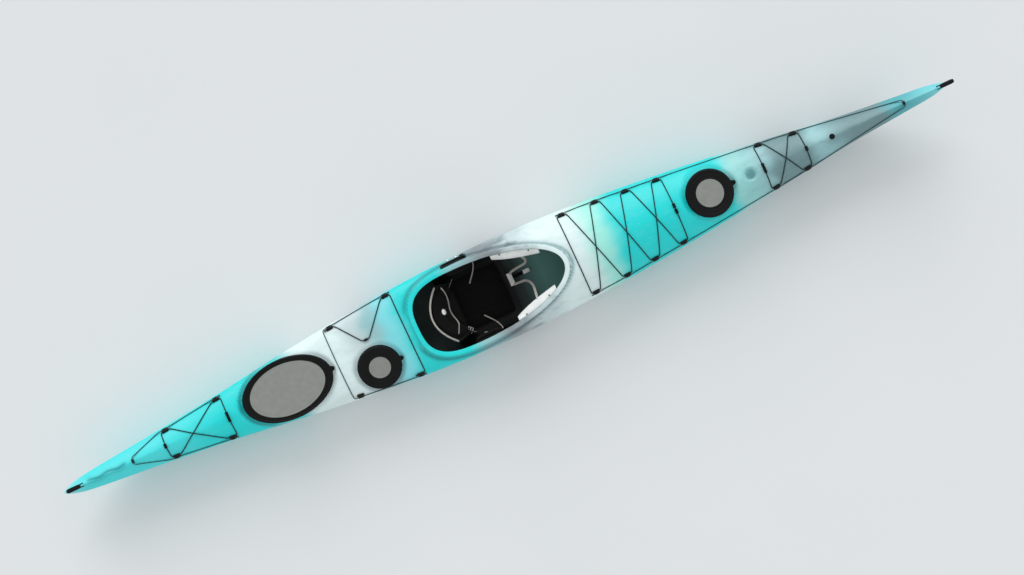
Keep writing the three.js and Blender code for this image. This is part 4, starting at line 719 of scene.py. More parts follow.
def make_moulded(name, colour, roughness, dust, peel=0.0015, spread=0.12, gloss=0.15):
    """Plain moulded plastic or rubber in one colour, with a little dust on it"""
    material, tree, shader = new_material(name)
    skin = use_group(tree, moulded_skin, Peel_Size=peel, Roughness=roughness, Spread=spread)
    where = object_place(tree)
    cloud = noise(tree, where, 30.0, 4.0)
    lighter = tuple(min(1.0, channel * 1.4 + 0.002) for channel in colour[:3]) + (1.0,)
    body = mix_colour(tree, cloud, colour, lighter)
    settled = use_group(tree, settled_dust, Amount=dust)
    body = mix_colour(tree, settled.outputs[0], body, dust_grey)
    scratch = use_group(tree, scuffs, Density=0.25, Length=25.0)
    body = mix_colour(tree, scratch.outputs[0], body, lighter)
    bump_into(tree, shader, skin.outputs["Height"], 0.0002, 0.6)
    feed(tree, shader, {
        "Base Color": body, "Roughness": skin.outputs["Roughness"], "Specular IOR Level": gloss,
    })
    return material


def make_fabric(name, colour, thread, pitch=0.0016):
    """Woven cloth or webbing in a ground colour and a thread colour"""
    material, tree, shader = new_material(name)
    cloth = use_group(tree, weave, Pitch=pitch)
    where = object_place(tree)
    worn = noise(tree, where, 18.0, 4.0, 0.6)
    body = mix_colour(tree, cloth.outputs["Mask"], colour, thread)
    body = mix_colour(tree, times(tree, worn, 0.35), body, thread)
    feed(tree, shader, {
        "Base Color": body, "Roughness": 0.85, "Specular IOR Level": 0.12, "Sheen Weight": 0.04,
    })
    bump_into(tree, shader, cloth.outputs["Height"], 0.0004, 0.7)
    return material


def make_braid(name, colour, fleck, radius):
    """Braided sleeve of a cord: its map runs along the cord in metres and once round it"""
    material, tree, shader = new_material(name)
    mapped = add_node(tree, "ShaderNodeTexCoord").outputs["UV"]
    along = add_node(tree, "ShaderNodeSeparateXYZ", {0: mapped})
    strand_pairs = 4
    lay = 4 * radius
    turn = times(tree, along.outputs["Y"], strand_pairs * TAU)
    run = times(tree, along.outputs["X"], strand_pairs * TAU / lay)
    left = math_node(tree, "SINE", plus(tree, run, turn))
    right = math_node(tree, "SINE", less(tree, run, turn))
    strands = larger(tree, left, right)
    crossing = math_node(tree, "GREATER_THAN", times(tree, left, right), 0.55)
    where = object_place(tree)
    body = mix_colour(tree, times(tree, crossing, 0.5), colour, fleck)
    body = mix_colour(tree, times(tree, noise(tree, where, 40.0, 3.0), 0.3), body, fleck)
    feed(tree, shader, {
        "Base Color": body, "Roughness": 0.7, "Specular IOR Level": 0.15, "Sheen Weight": 0.05,
    })
    bump_into(tree, shader, strands, 0.0004, 0.8)
    return material


def make_steel():
    material, tree, shader = new_material("stainless_steel")
    where = object_place(tree)
    grain = noise(tree, where, 900.0, 2.0)
    colour = mix_colour(tree, grain, srgb(84, 86, 88), srgb(112, 114, 116))
    rough = ranged(tree, grain, 0.0, 1.0, 0.24, 0.42)
    feed(tree, shader, {"Base Color": colour, "Metallic": 1.0, "Roughness": rough})
    return material


def make_foam():
    material, tree, shader = new_material("closed_cell_foam")
    where = object_place(tree)
    cells = add_node(tree, "ShaderNodeTexVoronoi", {"Vector": where, "Scale": 700.0}).outputs["Distance"]
    colour = mix_colour(tree, cells, srgb(62, 66, 68), srgb(92, 96, 98))
    feed(tree, shader, {"Base Color": colour, "Roughness": 0.92})
    bump_into(tree, shader, cells, 0.0004, 0.6)
    return material


blended_plastic = make_blended_plastic()
inner_plastic = make_inner_plastic()
black_rubber = make_moulded("black_rubber", srgb(6, 7, 8), 0.6, 0.008)
toggle_rubber = make_moulded("toggle_rubber", srgb(8, 9, 10), 0.65, 0.015)
grey_plate = make_moulded("grey_plate", srgb(126, 129, 125), 0.55, 0.08, peel=0.001, spread=0.2, gloss=0.3)
black_plastic = make_moulded("black_plastic", srgb(8, 10, 11), 0.5, 0.012)
seat_plastic = make_moulded("seat_plastic", srgb(7, 8, 8), 0.55, 0.008, peel=0.0012)
brace_plastic = make_moulded("brace_plastic", srgb(216, 220, 218), 0.5, 0.05, gloss=0.4)
buckle_plastic = make_moulded("buckle_plastic", srgb(244, 243, 240), 0.4, 0.02, gloss=0.4)
seat_fabric = make_fabric("seat_fabric", srgb(5, 6, 5), srgb(16, 17, 15))
black_webbing = make_fabric("black_webbing", srgb(9, 10, 10), srgb(24, 25, 25), 0.0022)
pale_webbing = make_fabric("pale_webbing", srgb(236, 233, 229), srgb(250, 248, 245), 0.0022)
piping_cord = make_fabric("piping_cord", srgb(168, 162, 155), srgb(200, 194, 188), 0.0014)
bungee_braid = make_braid("bungee_braid", srgb(20, 42, 44), srgb(60, 92, 94), bungee_radius)
line_braid = make_braid("line_braid", srgb(44, 70, 72), srgb(92, 124, 126), line_radius)
steel = make_steel()
foam = make_foam()


# Mesh building
def finish_mesh(name, mesh, material, body, slot, replaces=(), sharp=None):
    """A smooth-shaded piece that rides on a body, hiding the nodes that it stands for; its slot is not used
    """
    mesh.materials.clear()
    mesh.materials.append(material)
    mesh.polygons.foreach_set("use_smooth", [True] * len(mesh.polygons))
    if sharp is not None:
        mesh.set_sharp_from_angle(angle=math.radians(sharp))
    piece = put_in_scene(name, mesh)
    if body:
        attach(piece, body)
    if replaces:
        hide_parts(*replaces)
    return piece


def mesh_from(name, points, faces, uvs=None):
    """A mesh with its faces turned outward; with uvs, a (u, v) for each corner, no points are joined"""
    mesh = bpy.data.meshes.new(name)
    mesh.from_pydata([tuple(point) for point in points], [], [tuple(face) for face in faces])
    if uvs is not None:
        layer = mesh.uv_layers.new(name="along")
        for loop, uv in zip(layer.data, uvs):
            loop.uv = uv
    work = bmesh.new()
    work.from_mesh(mesh)
    if uvs is None:
        bmesh.ops.remove_doubles(work, verts=work.verts, dist=1e-7)
    bmesh.ops.recalc_face_normals(work, faces=work.faces)
    work.to_mesh(mesh)
    work.free()
    mesh.update()
    return mesh


def points_of(mesh):
    return np.array([v.co for v in mesh.vertices])


def modify(piece, name, kind, **settings):
    modifier = piece.modifiers.new(name, kind)
    for key, value in settings.items():
        setattr(modifier, key, value)
    return modifier


def evaluated_mesh(piece):
    """The piece's mesh with its modifiers applied"""
    graph = bpy.context.evaluated_depsgraph_get()
    return bpy.data.meshes.new_from_object(piece.evaluated_get(graph))


def ring_faces(count, size, closed=False, caps=True):
    """Quads that join count rings of size points, with one polygon over each open end"""
    faces = []
    spans = count if closed else count - 1
    for i in range(spans):
        here = i * size
        there = ((i + 1) % count) * size
        for j in range(size):
            k = (j + 1) % size
            faces.append((here + j, here + k, there + k, there + j))
    if caps and not closed:
        faces.append(tuple(range(size))[::-1])
        faces.append(tuple((count - 1) * size + j for j in range(size)))
    return faces


def sheet_faces(rows, columns):
    """Quads of an open grid of points"""
    faces = []
    for i in range(rows - 1):
        for j in range(columns - 1):
            a = i * columns + j
            faces.append((a, a + 1, a + columns + 1, a + columns))
    return faces


def rounded_path(corners, steps=4):
    """A polyline whose corners (x, y, radius) are rounded with arcs"""
    out = []
    count = len(corners)
    for i, (x, y, radius) in enumerate(corners):
        point = np.array((x, y), float)
        if radius <= 0 or i in (0, count - 1):
            out.append(point)
            continue
        before = np.array(corners[i - 1][:2], float) - point
        after = np.array(corners[i + 1][:2], float) - point
        reach = min(radius, norm(before) * 0.48, norm(after) * 0.48)
        start = point + before / norm(before) * reach
        end = point + after / norm(after) * reach
        for k in range(steps + 1):
            t = k / steps
            out.append((1 - t) ** 2 * start + 2 * t * (1 - t) * point + t**2 * end)
    return np.array(out)


def joined_mesh(name, parts):
    """One mesh from several, each a mesh or a (mesh, matrix)"""
    work = bmesh.new()
    for part in parts:
        mesh, matrix = part if isinstance(part, tuple) else (part, Matrix.Identity(4))
        copy = mesh.copy()
        copy.transform(matrix)
        work.from_mesh(copy)
        bpy.data.meshes.remove(copy)
    mesh = bpy.data.meshes.new(name)
    work.to_mesh(mesh)
    work.free()
    return mesh


def cut_mesh(mesh, cutter_mesh):
    """The mesh less the space of a cutter"""
    body = put_in_scene("cut_body", mesh)
    cutter = put_in_scene("cut_tool", cutter_mesh)
    modify(body, "cut", "BOOLEAN", operation="DIFFERENCE", solver="EXACT", object=cutter)
    result = evaluated_mesh(body)
    for each in (body, cutter):
        bpy.data.objects.remove(each)
    return result


def frame_matrix(origin, ahead, up):
    """A frame at an origin with X ahead and Z as near to up as it can be"""
    ahead = Vector(ahead).normalized()
    up = Vector(up)
    aside = up.cross(ahead).normalized()
    up = ahead.cross(aside)
    return Matrix.Translation(Vector(origin)) @ Matrix((ahead, aside, up)).transposed().to_4x4()


def lathe_mesh(name, profile, segments):
    """A profile of (radius, height) turned about Z, with both its ends on the axis or close to it"""
    points = []
    for angle in circle_angles(segments):
        points += [(r * cos(angle), r * sin(angle), height) for r, height in profile]
    size = len(profile)
    faces = ring_faces(segments, size, closed=True)
    faces = [face for face in faces if {face[0] % size, face[1] % size} != {0, size - 1}]
    return mesh_from(name, points, faces)


def tube_mesh(name, path, radius, sides=12, closed=False):
    """A round tube along a path, mapped along its length in metres and once round"""
    path = np.array(path, float)
    count = len(path)
    ahead = np.roll(path, -1, axis=0) - np.roll(path, 1, axis=0)
    if not closed:
        ahead[0] = path[1] - path[0]
        ahead[-1] = path[-1] - path[-2]
    ahead /= np.maximum(norm(ahead, axis=1), tiny)[:, None]
    steps = norm(np.diff(path, axis=0, append=path[:1]), axis=1)
    run = np.r_[0, np.cumsum(steps)]
    side = np.cross(ahead[0], (0, 0, 1))
    if norm(side) < 0.1:
        side = np.cross(ahead[0], (0, 1, 0))
    points = []
    for i in range(count):
        side = side - ahead[i] * (side @ ahead[i])
        side /= norm(side)
        other = np.cross(ahead[i], side)
        for j in range(sides):
            angle = TAU * j / sides
            points.append(path[i] + (side * cos(angle) + other * sin(angle)) * radius)
    faces = ring_faces(count, sides, closed=closed)
    uvs = []
    for i in range(count if closed else count - 1):
        near, far = run[i], run[i + 1]
        for j in range(sides):
            low, high = j / sides, (j + 1) / sides
            uvs += [(near, low), (near, high), (far, high), (far, low)]
    if not closed:
        uvs += [(0, 0)] * sides + [(run[-2], 0)] * sides
    return mesh_from(name, points, faces, uvs)


def block_mesh(name, sizes, radius, segments, centre):
    """A box with all its edges rounded"""
    work = bmesh.new()
    bmesh.ops.create_cube(work, size=1.0)
    bmesh.ops.scale(work, vec=Vector(sizes), verts=work.verts)
    bmesh.ops.bevel(work, geom=work.edges, offset=radius, segments=segments, affect="EDGES", profile=0.5)
    mesh = bpy.data.meshes.new(name)
    work.to_mesh(mesh)
    work.free()
    mesh.transform(Matrix.Translation(centre))
    return mesh


def squarish(angle, power):
    """Cosine and sine, and how far the point at an angle moves out from a circle onto a squarish curve"""
    c, s = cos(angle), sin(angle)
    return c, s, (abs(c) ** power + abs(s) ** power) ** (-1 / power)


def soften_edges(piece, width, segments, angle):
    limit = math.radians(angle)
    modify(
        piece, "soft_edges", "BEVEL",
        width=width, segments=segments, limit_method="ANGLE", angle_limit=limit,
    )


def screw_mesh(radius=0.0032, height=0.0016, segments=24):
    """A pan head with a hexagon socket"""
    angles = circle_angles(segments)
    points = []
    for share, level in ((1, 0), (1, 0.35), (0.9, 0.75), (0.7, 1), (0.52, 1)):
        ring = radius * share
        points += [(ring * cos(a), ring * sin(a), height * level) for a in angles]
    for level in (1, 0.3):
        for a in angles:
            within = (a % (TAU / 6)) - TAU / 12
            hexagon = 0.42 * radius * cos(TAU / 12) / cos(within)
            points.append((hexagon * cos(a), hexagon * sin(a), height * level))
    return mesh_from("screw", points, ring_faces(7, segments))


screw = screw_mesh()


# Hull and deck
station_count = 430
deck_columns = 34
hull_columns = 26
stem_stations = stem_round * np.array((0.03, 0.1, 0.22, 0.4, 0.65, 1.0))
stations = np.unique(np.r_[
    np.linspace(stern_x, bow_x, station_count), stern_x + stem_stations, bow_x - stem_stations,
])
skeg_low, skeg_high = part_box("skeg_box")
skeg_slot_half = 0.008
skeg_slot_share = skeg_slot_half / keel_flat
skeg_slot_inset = 0.003
skeg_ends = (skeg_low.x + skeg_slot_inset, skeg_high.x - skeg_slot_inset)
for end_x in skeg_ends:
    stations[np.argmin(np.abs(stations - end_x))] = end_x


def rounded_stem(points):
    """Draws the last centimetres of each end together into a rounded stem"""
    x = points[..., 0]
    end_x = np.where(x < 0, stern_x, bow_x)
    t = np.clip(np.abs(x - end_x) / stem_round, 0, 1)
    share = np.sqrt(np.maximum(0, 1 - (1 - t) ** 2))
    middle = (sheer_at(end_x) + keel_at(end_x)) / 2
    out = points.copy()
    out[..., 1] *= share
    drawn = middle + (points[..., 2] - middle) * (0.35 + 0.65 * share)
    out[..., 2] = np.where(t < 1, drawn, points[..., 2])
    return out


def deck_points():
    """The plan of the deck's grid, spaced so that its crown is even"""
    angles = np.linspace(0, np.pi, 2 * deck_columns + 1)
    x = np.repeat(stations[:, None], len(angles), axis=1)
    power = (2 / smooth_share(crown_fullness_shares, place_of(stations)))[:, None]
    out = np.sign(np.cos(angles)) * np.abs(np.cos(angles)) ** power
    out[:, deck_columns] = 0
    y = half_beam_at(stations)[:, None] * out
    return x, y


def hull_points():
    """The hull's grid from the port gunwale round the keel, with two columns beside the skeg's slot"""
    angles = np.linspace(np.pi / 2, 0, hull_columns + 1)
    half = half_beam_at(stations)[:, None]
    flat = np.minimum(keel_flat, keel_flat_share * half)
    bilge = (2 / smooth_share(bilge_fullness_shares, place_of(stations)))[:, None]
    sheer = sheer_at(stations)[:, None]
    keel = keel_at(stations)[:, None]
    y = flat + (half - flat) * np.sin(angles) ** bilge
    z = sheer - (sheer - keel) * np.maximum(np.cos(angles), 0) ** bilge
    z[:, -1] = keel[:, 0]
    y = np.concatenate([y, flat * skeg_slot_share, -flat * skeg_slot_share, -y[:, ::-1]], axis=1)
    z = np.concatenate([z, keel, keel, z[:, ::-1]], axis=1)
    x = np.repeat(stations[:, None], y.shape[1], axis=1)
    return np.stack([x, y, z], axis=2)


def thicken(piece):
    """Gives a skin its wall, thinner where the ends are too fine to hold two walls"""
    room = half_beam_at(points_of(piece.data)[:, 0]) * 0.35
    weights = np.clip(room / shell_wall, 0.08, 1)
    group = piece.vertex_groups.new(name="wall")
    for index, weight in enumerate(weights):
        group.add([index], float(weight), "REPLACE")
    piece.data.materials.append(inner_plastic)
    modify(
        piece, "wall", "SOLIDIFY",
        thickness=shell_wall, offset=-1, vertex_group="wall", use_rim=True, material_offset=1,
    )


def make_hull():
    grid = rounded_stem(hull_points())
    rows, columns = grid.shape[:2]
    middle = columns // 2
    faces = []
    for index, face in enumerate(sheet_faces(rows, columns)):
        row, column = divmod(index, columns - 1)
        in_slot = column == middle - 1 and skeg_ends[0] <= stations[row] < skeg_ends[1]
        if not in_slot:
            faces.append(face)
    mesh = mesh_from("hull", grid.reshape(-1, 3), faces)
    piece = finish_mesh("hull_skin", mesh, blended_plastic, "boat", "hull_plastic", ["hull_shell"])
    turn_outward(mesh, Vector((0, 0, 0.12)))
    thicken(piece)


def turn_outward(mesh, inside):
    """Flips an open skin whose faces look towards a point inside it"""
    total = sum((p.normal.dot(p.center - inside)) * p.area for p in mesh.polygons)
    if total < 0:
        mesh.flip_normals()


def make_deck():
    """The deck's grid without its cells inside the openings, the rest of which are drawn to the edges"""
    x, y = deck_points()
    cockpit_hole = 0.009
    hatch_hole = -0.0155
    columns = x.shape[1]
    faces = sheet_faces(len(stations), columns)
    cuts = [(coaming_outline, cockpit_hole)] + [(seat.cover, hatch_hole) for seat in seats.values()]
    flat_x, flat_y = x.ravel().copy(), y.ravel().copy()
    gone = np.zeros(len(faces), bool)
    face_array = np.array(faces)
    for outline, reach in cuts:
        within = outline.distance(flat_x, flat_y) < reach
        gone |= within[face_array].all(axis=1)
        edge = np.zeros(len(flat_x), bool)
        edge[face_array[~gone].ravel()] = True
        edge &= within
        flat_x[edge], flat_y[edge] = outline.pushed(flat_x[edge], flat_y[edge], reach)
    z = deck_height(flat_x, flat_y)
    points = rounded_stem(np.stack([flat_x, flat_y, z], axis=1))
    kept = face_array[~gone]
    used = np.unique(kept)
    renumber = np.full(len(points), -1)
    renumber[used] = np.arange(len(used))
    mesh = mesh_from("deck", points[used], renumber[kept])
    spots = points_of(mesh)
    # Painted shade for the recesses, kept on the deck's points for its material
    painted_recess_shade = mesh.attributes.new("painted_recess_shade", "FLOAT", "POINT")
    painted_recess_shade.data.foreach_set("value", recess_shade_share(spots[:, 0], spots[:, 1]).astype(np.float32))
    turn_outward(mesh, Vector((0, 0, 0.2)))
    deck_nodes = [node for node in frame["nodes"] if node.startswith("deck_shell_")]
    thicken(finish_mesh("deck_skin", mesh, blended_plastic, "boat", "deck_plastic", deck_nodes))


make_hull()
make_deck()


def coaming_point(angle, out):
    """The outline at an angle, moved outward square to itself"""
    spread = 1e-4

    def at(a):
        front = cos(a) > 0
        power = 2 / (coaming_front_fullness if front else coaming_rear_fullness)
        length = coaming_front_x - coaming_wide_x if front else coaming_rear_x - coaming_wide_x
        x = coaming_wide_x + length * abs(cos(a)) ** power
        y = coaming_half_width * math.copysign(abs(sin(a)) ** power, sin(a))
        return np.array((x, y))

    here = at(angle)
    along = at(angle + spread) - at(angle - spread)
    along /= max(norm(along), tiny)
    return here + np.array((along[1], -along[0])) * out


def even_outline_angles(count):
    """Angles that space the coaming's outline evenly"""
    angles = np.linspace(0, TAU, 4000)
    points = np.array([coaming_point(a, 0) for a in angles])
    run = np.r_[0, np.cumsum(norm(np.diff(points, axis=0), axis=1))]
    return np.interp(np.linspace(0, run[-1], count, endpoint=False), run, angles)


def make_coaming():
    """The coaming's section swept round its outline, with its flange on the deck"""
    edge = coaming_wall + coaming_flange
    lip = coaming_wall + coaming_lip
    under = coaming_rise - coaming_lip_thickness
    corners = [
        (0.0015, -coaming_drop, 0.0), (coaming_wall, -coaming_drop, 0.001), (coaming_wall, 0.0002, 0.0),
        (edge, 0.0002, 0.0004), (edge, coaming_flange_thickness, 0.0014),
        (coaming_wall, coaming_flange_thickness, 0.005), (coaming_wall, under, 0.004),
        (lip, under, 0.0022), (lip, coaming_rise, 0.0026), (lip - 0.008, coaming_rise + 0.0012, 0.003),
        (0, coaming_rise, 0.0035), (0, 0.004, 0.002), (0.0015, -coaming_drop, 0.0),
    ]
    profile = rounded_path(corners, steps=4)[:-1]
    points = []
    angles = even_outline_angles(220)
    for angle in angles:
        foot = coaming_point(angle, 0)
        foot_level = float(crown_height(foot[0], foot[1]))
        for out, rise in profile:
            x, y = coaming_point(angle, out)
            local = float(deck_height(*coaming_point(angle, max(out, 0.009))))
            share = float(smooth_step(coaming_flange_thickness, 2.5 * coaming_flange_thickness, rise))
            points.append((x, y, local + (foot_level - local) * share + rise))
    mesh = mesh_from("coaming", points, ring_faces(len(angles), len(profile), closed=True))
    finish_mesh("coaming_moulding", mesh, blended_plastic, "boat", "deck_plastic", ["cockpit_coaming"])


make_coaming()


# Hatches
oval_sides = 128
tab_edge = 0.0012
tab_rib = 0.0014


def oval_mesh(name, rings):
    """A skin through ovals about Z, each (half length, half width, height)"""
    angles = circle_angles(oval_sides)
    points = [(long * cos(a), wide * sin(a), level) for long, wide, level in rings for a in angles]
    return mesh_from(name, points, ring_faces(len(rings), oval_sides))


def pull_tab(edge, top):
    """The tab beyond a cover's edge, with its grip ribs"""
    tip = edge + tab_length
    half = tab_width / 2
    outline = rounded_path([
        (edge - 0.012, -half - 0.005, 0), (edge + 0.002, -half, 0.006), (tip - 0.006, -half + 0.004, 0.008),
        (tip, 0, 0.010), (tip - 0.006, half - 0.004, 0.008), (edge + 0.002, half, 0.006),
        (edge - 0.012, half + 0.005, 0),
    ], steps=5)
    under = top - tab_thickness
    centre = outline.mean(axis=0)
    points = []
    for inset, level in ((tab_edge, under), (0, under + tab_edge), (0, top - tab_edge), (tab_edge, top)):
        for corner in outline:
            away = corner - centre
            away = away * (1 - inset / norm(away))
            points.append((*(centre + away), level))
    parts = [mesh_from("tab", points, ring_faces(4, len(outline)))]
    for k in range(4):
        rib = (tab_rib, tab_width - 0.012 - 0.002 * k, tab_rib)
        parts.append(block_mesh("rib", rib, 0.0005, 2, (edge + 0.004 + 0.004 * k, 0, top + 0.0002)))
    return parts


def make_cover(name, sizes, seat):
    """The rubber cover: a pocket for the plate, rolled rings, a domed edge and a skirt over the rim"""
    under = rim_height + seat_gap
    skirt = under - cover_skirt_drop
    floor = under + cover_web
    top = under + cover_height
    pocket = floor + plate_thickness
    # Points of (share of the way from the plate to the edge, height, radius)
    corners = [
        (-0.04, floor, 0), (0, floor, 0.0004), (0, pocket + 0.0006, 0.0012), (0.08, pocket + 0.0012, 0.001),
        (0.16, pocket - 0.0008, 0.001), (0.30, pocket - 0.0008, 0.001), (0.36, pocket + 0.0012, 0.001),
        (0.44, pocket + 0.0012, 0.001), (0.50, pocket - 0.0002, 0.001), (0.66, top - 0.0014, 0.002),
        (0.76, top + 0.0004, 0.003), (0.90, top + 0.0004, 0.004), (1.0, top - 0.0065, 0.003),
        (1.0, skirt, 0.001),
    ]
    # Rounded at ten times the height, which suits the shares
    across = rounded_path([(share, height * 10, radius * 10) for share, height, radius in corners], steps=3)
    inner_long = sizes["plate_long"] + running_gap
    inner_wide = sizes["plate_wide"] + running_gap
    rings = []
    for share, height in across:
        long = inner_long + (sizes["long"] - inner_long) * share
        wide = inner_wide + (sizes["wide"] - inner_wide) * share
        rings.append((long, wide, height / 10))
    for level in (skirt, under):
        rings.append((sizes["long"] - cover_skirt, sizes["wide"] - cover_skirt, level))
    mesh = joined_mesh(name + "_hatch_rubber", [oval_mesh("cover", rings), *pull_tab(sizes["long"], top)])
    mesh.transform(seat.matrix)
    finish_mesh(
        name + "_hatch_rubber", mesh, black_rubber, name + "_cover", "black_rubber",
        [name + "_hatch_cover"], sharp=50,
    )


def make_plate(name, sizes, seat):
    """The hard disc in the cover, with a turned groove, whose face sinks a little towards its middle"""
    base = rim_height + seat_gap + cover_web + seat_gap
    top = base + plate_thickness
    groove = base + 0.0022
    corners = rounded_path([
        (0, base, 0), (0, base + 0.0018, 0.001), (0.0018, top, 0.001), (0.009, top, 0.001),
        (0.0105, groove, 0.001), (0.013, groove, 0.001), (0.0145, top, 0.001), (0.022, top - 0.0002, 0),
    ], steps=3)
    rings = [(sizes["plate_long"] - inset, sizes["plate_wide"] - inset, level) for inset, level in corners]
    long, wide, level = rings[-1]
    for share in (0.8, 0.55, 0.3, 0.08):
        rings.append((long * share, wide * share, level - 0.0006 * (1 - share)))
    mesh = oval_mesh(name + "_plate", rings)
    mesh.transform(seat.matrix)
    finish_mesh(
        name + "_hatch_disc", mesh, grey_plate, name + "_cover", "grey_plate",
        [name + "_hatch_plate"], sharp=50,
    )


def make_rim(name, sizes, seat):
    """The rim under the cover: a wall round the mouth, with a lip on top and a flange on the deck's seat"""
    wall_out = rim_mouth_inset - rim_wall
    flange_out = wall_out - rim_flange
    flange_top = seat_gap + rim_flange_thickness
    profile = rounded_path([
        (rim_mouth_inset, -rim_drop, 0), (wall_out, -rim_drop, 0.0006), (wall_out, seat_gap, 0.0006),
        (flange_out, seat_gap, 0.0006), (flange_out, flange_top, 0.001), (wall_out, flange_top, 0.001),
        (wall_out, rim_height - 0.003, 0.0006), (wall_out - 0.0016, rim_height - 0.002, 0.0008),
        (wall_out, rim_height, 0.0015), (rim_mouth_inset, rim_height, 0.0015),
        (rim_mouth_inset, -rim_drop, 0),
    ], steps=3)[:-1]
    points = []
    for angle in circle_angles(oval_sides):
        for inset, height in profile:
            long, wide = sizes["long"] - inset, sizes["wide"] - inset
            points.append((long * cos(angle), wide * sin(angle), height))
    mesh = mesh_from(name + "_rim", points, ring_faces(oval_sides, len(profile), closed=True))
    mesh.transform(seat.matrix)
    finish_mesh(
        name + "_rim_moulding", mesh, black_plastic, "boat", "black_plastic",
        [name + "_hatch_rim"], sharp=50,
    )


for hatch, sizes in hatches.items():
    for make_part in (make_cover, make_plate, make_rim):
        make_part(hatch, sizes, seats[hatch])


# Rigging
rig_step = 0.009
rig_fine_step = 0.006
hold_length = 0.022
cord_clear = 0.0004
crossing_rise = 2.1 * bungee_radius
bore_clear = 0.0009
cord_sides = 12


def deck_frame(place, share, side, offset=None):
    """A frame on the deck: X along the gunwale, Z square to the deck"""
    x = float(x_of(place))
    reach = fitting_width / 2
    y = float(side * share * half_beam_at(x)) if offset is None else offset
    flare = float(side * share * (half_beam_at(x + reach) - half_beam_at(x - reach)))
    rise = level_at(x + reach, y + flare / 2) - level_at(x - reach, y - flare / 2)
    ahead = Vector((2 * reach, flare, rise))
    aside = Vector((0, 2 * reach, level_at(x, y + reach) - level_at(x, y - reach)))
    return frame_matrix((x, y, level_at(x, y)), ahead, ahead.cross(aside))


def pass_through(matrix, y, heading, length, lead_in=stand_off, lead_out=stand_off):
    """The two ends of a cord's straight run through a fitting, each a lead beyond it"""
    into = matrix @ Vector((-heading * (length / 2 + lead_in), y, bore_level))
    out_of = matrix @ Vector((heading * (length / 2 + lead_out), y, bore_level))
    return [np.array(into), np.array(out_of)]


def bungee_pass(pair, side, heading, *leads):
    return pass_through(deck_frame(*pair, side), -side * bore_spread, heading, fitting_length, *leads)


def line_pass(pair, side, heading, *leads):
    return pass_through(deck_frame(*pair, side), side * bore_spread, heading, fitting_length, *leads)


def smoothed(path, rounds):
    """A path whose inner points are drawn between their neighbours, round after round"""
    path = np.array(path)
    for _ in range(rounds):
        inner = (path[:-2] + 2 * path[1:-1] + path[2:]) / 4
        path = np.concatenate([path[:1], inner, path[-1:]])
    return path


def rig_route(passes, radius, crossings=(), last_over=0):
    """A cord through its passes and on the deck between them, which rises at crossings up to last_over"""
    route = list(passes[0])
    for i in range(1, len(passes)):
        start, end = passes[i - 1][1], passes[i][0]
        lead = start - passes[i - 1][0]
        trail = passes[i][1] - end
        bend_start = start + lead / norm(lead) * cord_bend * 0.5
        bend_end = end - trail / norm(trail) * cord_bend * 0.5
        span = norm(bend_end - bend_start)
        for t in np.linspace(0, 1, max(4, int(span / rig_step)) + 1):
            point = bend_start + (bend_end - bend_start) * t
            resting = level_at(point[0], point[1]) + radius + cord_clear
            held = np.exp(-min(t, 1 - t) * span / hold_length)
            over = 0.0
            if i <= last_over:
                over = max((band(math.dist(point[:2], c), 0, hold_length) for c in crossings), default=0.0)
            point[2] = max(resting, point[2] * held + resting * (1 - held)) + over * crossing_rise
            route.append(point)
        route += [end, passes[i][1]]
    fine = []
    for a, b in zip(route[:-1], route[1:]):
        pieces = max(1, int(norm(b - a) / rig_fine_step))
        fine += [a + (b - a) * k / pieces for k in range(pieces)]
    fine.append(route[-1])
    return smoothed(fine, 3)


def fitting_mesh(name, length, width, bores):
    """A rounded block with a through bore at each place across it and a shallow foot"""
    levels = [
        (0.0, 0.0), (0.0, 0.003), (0.0008, 0.0055), (0.002, 0.0095), (0.0042, 0.012),
        (0.0075, fitting_height),
    ]
    angles = circle_angles(48)
    points = []
    for inset, level in levels:
        for angle in angles:
            c, s, bulge = squarish(angle, 5)
            points.append(((length / 2 - inset) * c * bulge, (width / 2 - inset * 0.8) * s * bulge, level))
    mesh = mesh_from(name, points, ring_faces(len(levels), len(angles)))
    for y in bores:
        run = [(-length, y, bore_level), (length, y, bore_level)]
        mesh = cut_mesh(mesh, tube_mesh("bore", run, bungee_radius + bore_clear, 20))
    return mesh


fitting_shape = fitting_mesh("fitting", fitting_length, fitting_width, (-bore_spread, bore_spread))
padeye_shape = fitting_mesh("padeye", padeye_length, padeye_width, (0.0,))


def finish_screws(name, heads):
    finish_mesh(name, joined_mesh("screws", heads), steel, "boat", "stainless", sharp=40)


def make_fitting(name, matrix, shape, screw_distance, replaces=()):
    """A moulded fitting at a frame on the deck, with a screw before and behind its middle"""
    mesh = shape.copy()
    mesh.transform(matrix)
    finish_mesh(name, mesh, black_plastic, "boat", "black_plastic", replaces, sharp=40)
    level = fitting_height - screw_sink
    finish_screws(name + "_screws", [
        (screw, matrix @ Matrix.Translation((x, 0, level))) for x in (-screw_distance, screw_distance)
    ])


zones = {"stern": stern_pairs, "aft": aft_pairs, "foredeck": foredeck_pairs, "bow": bow_pairs}
for zone, pairs in zones.items():
    for number, pair in enumerate(pairs, 1):
        for side_name, side in hands:
            node = f"{zone}_fitting_{side_name}_{number}"
            stands_for = [node] if node in frame["nodes"] else []
            make_fitting(
                "deck_" + node, deck_frame(*pair, side), fitting_shape, fitting_screw_distance, stands_for
            )

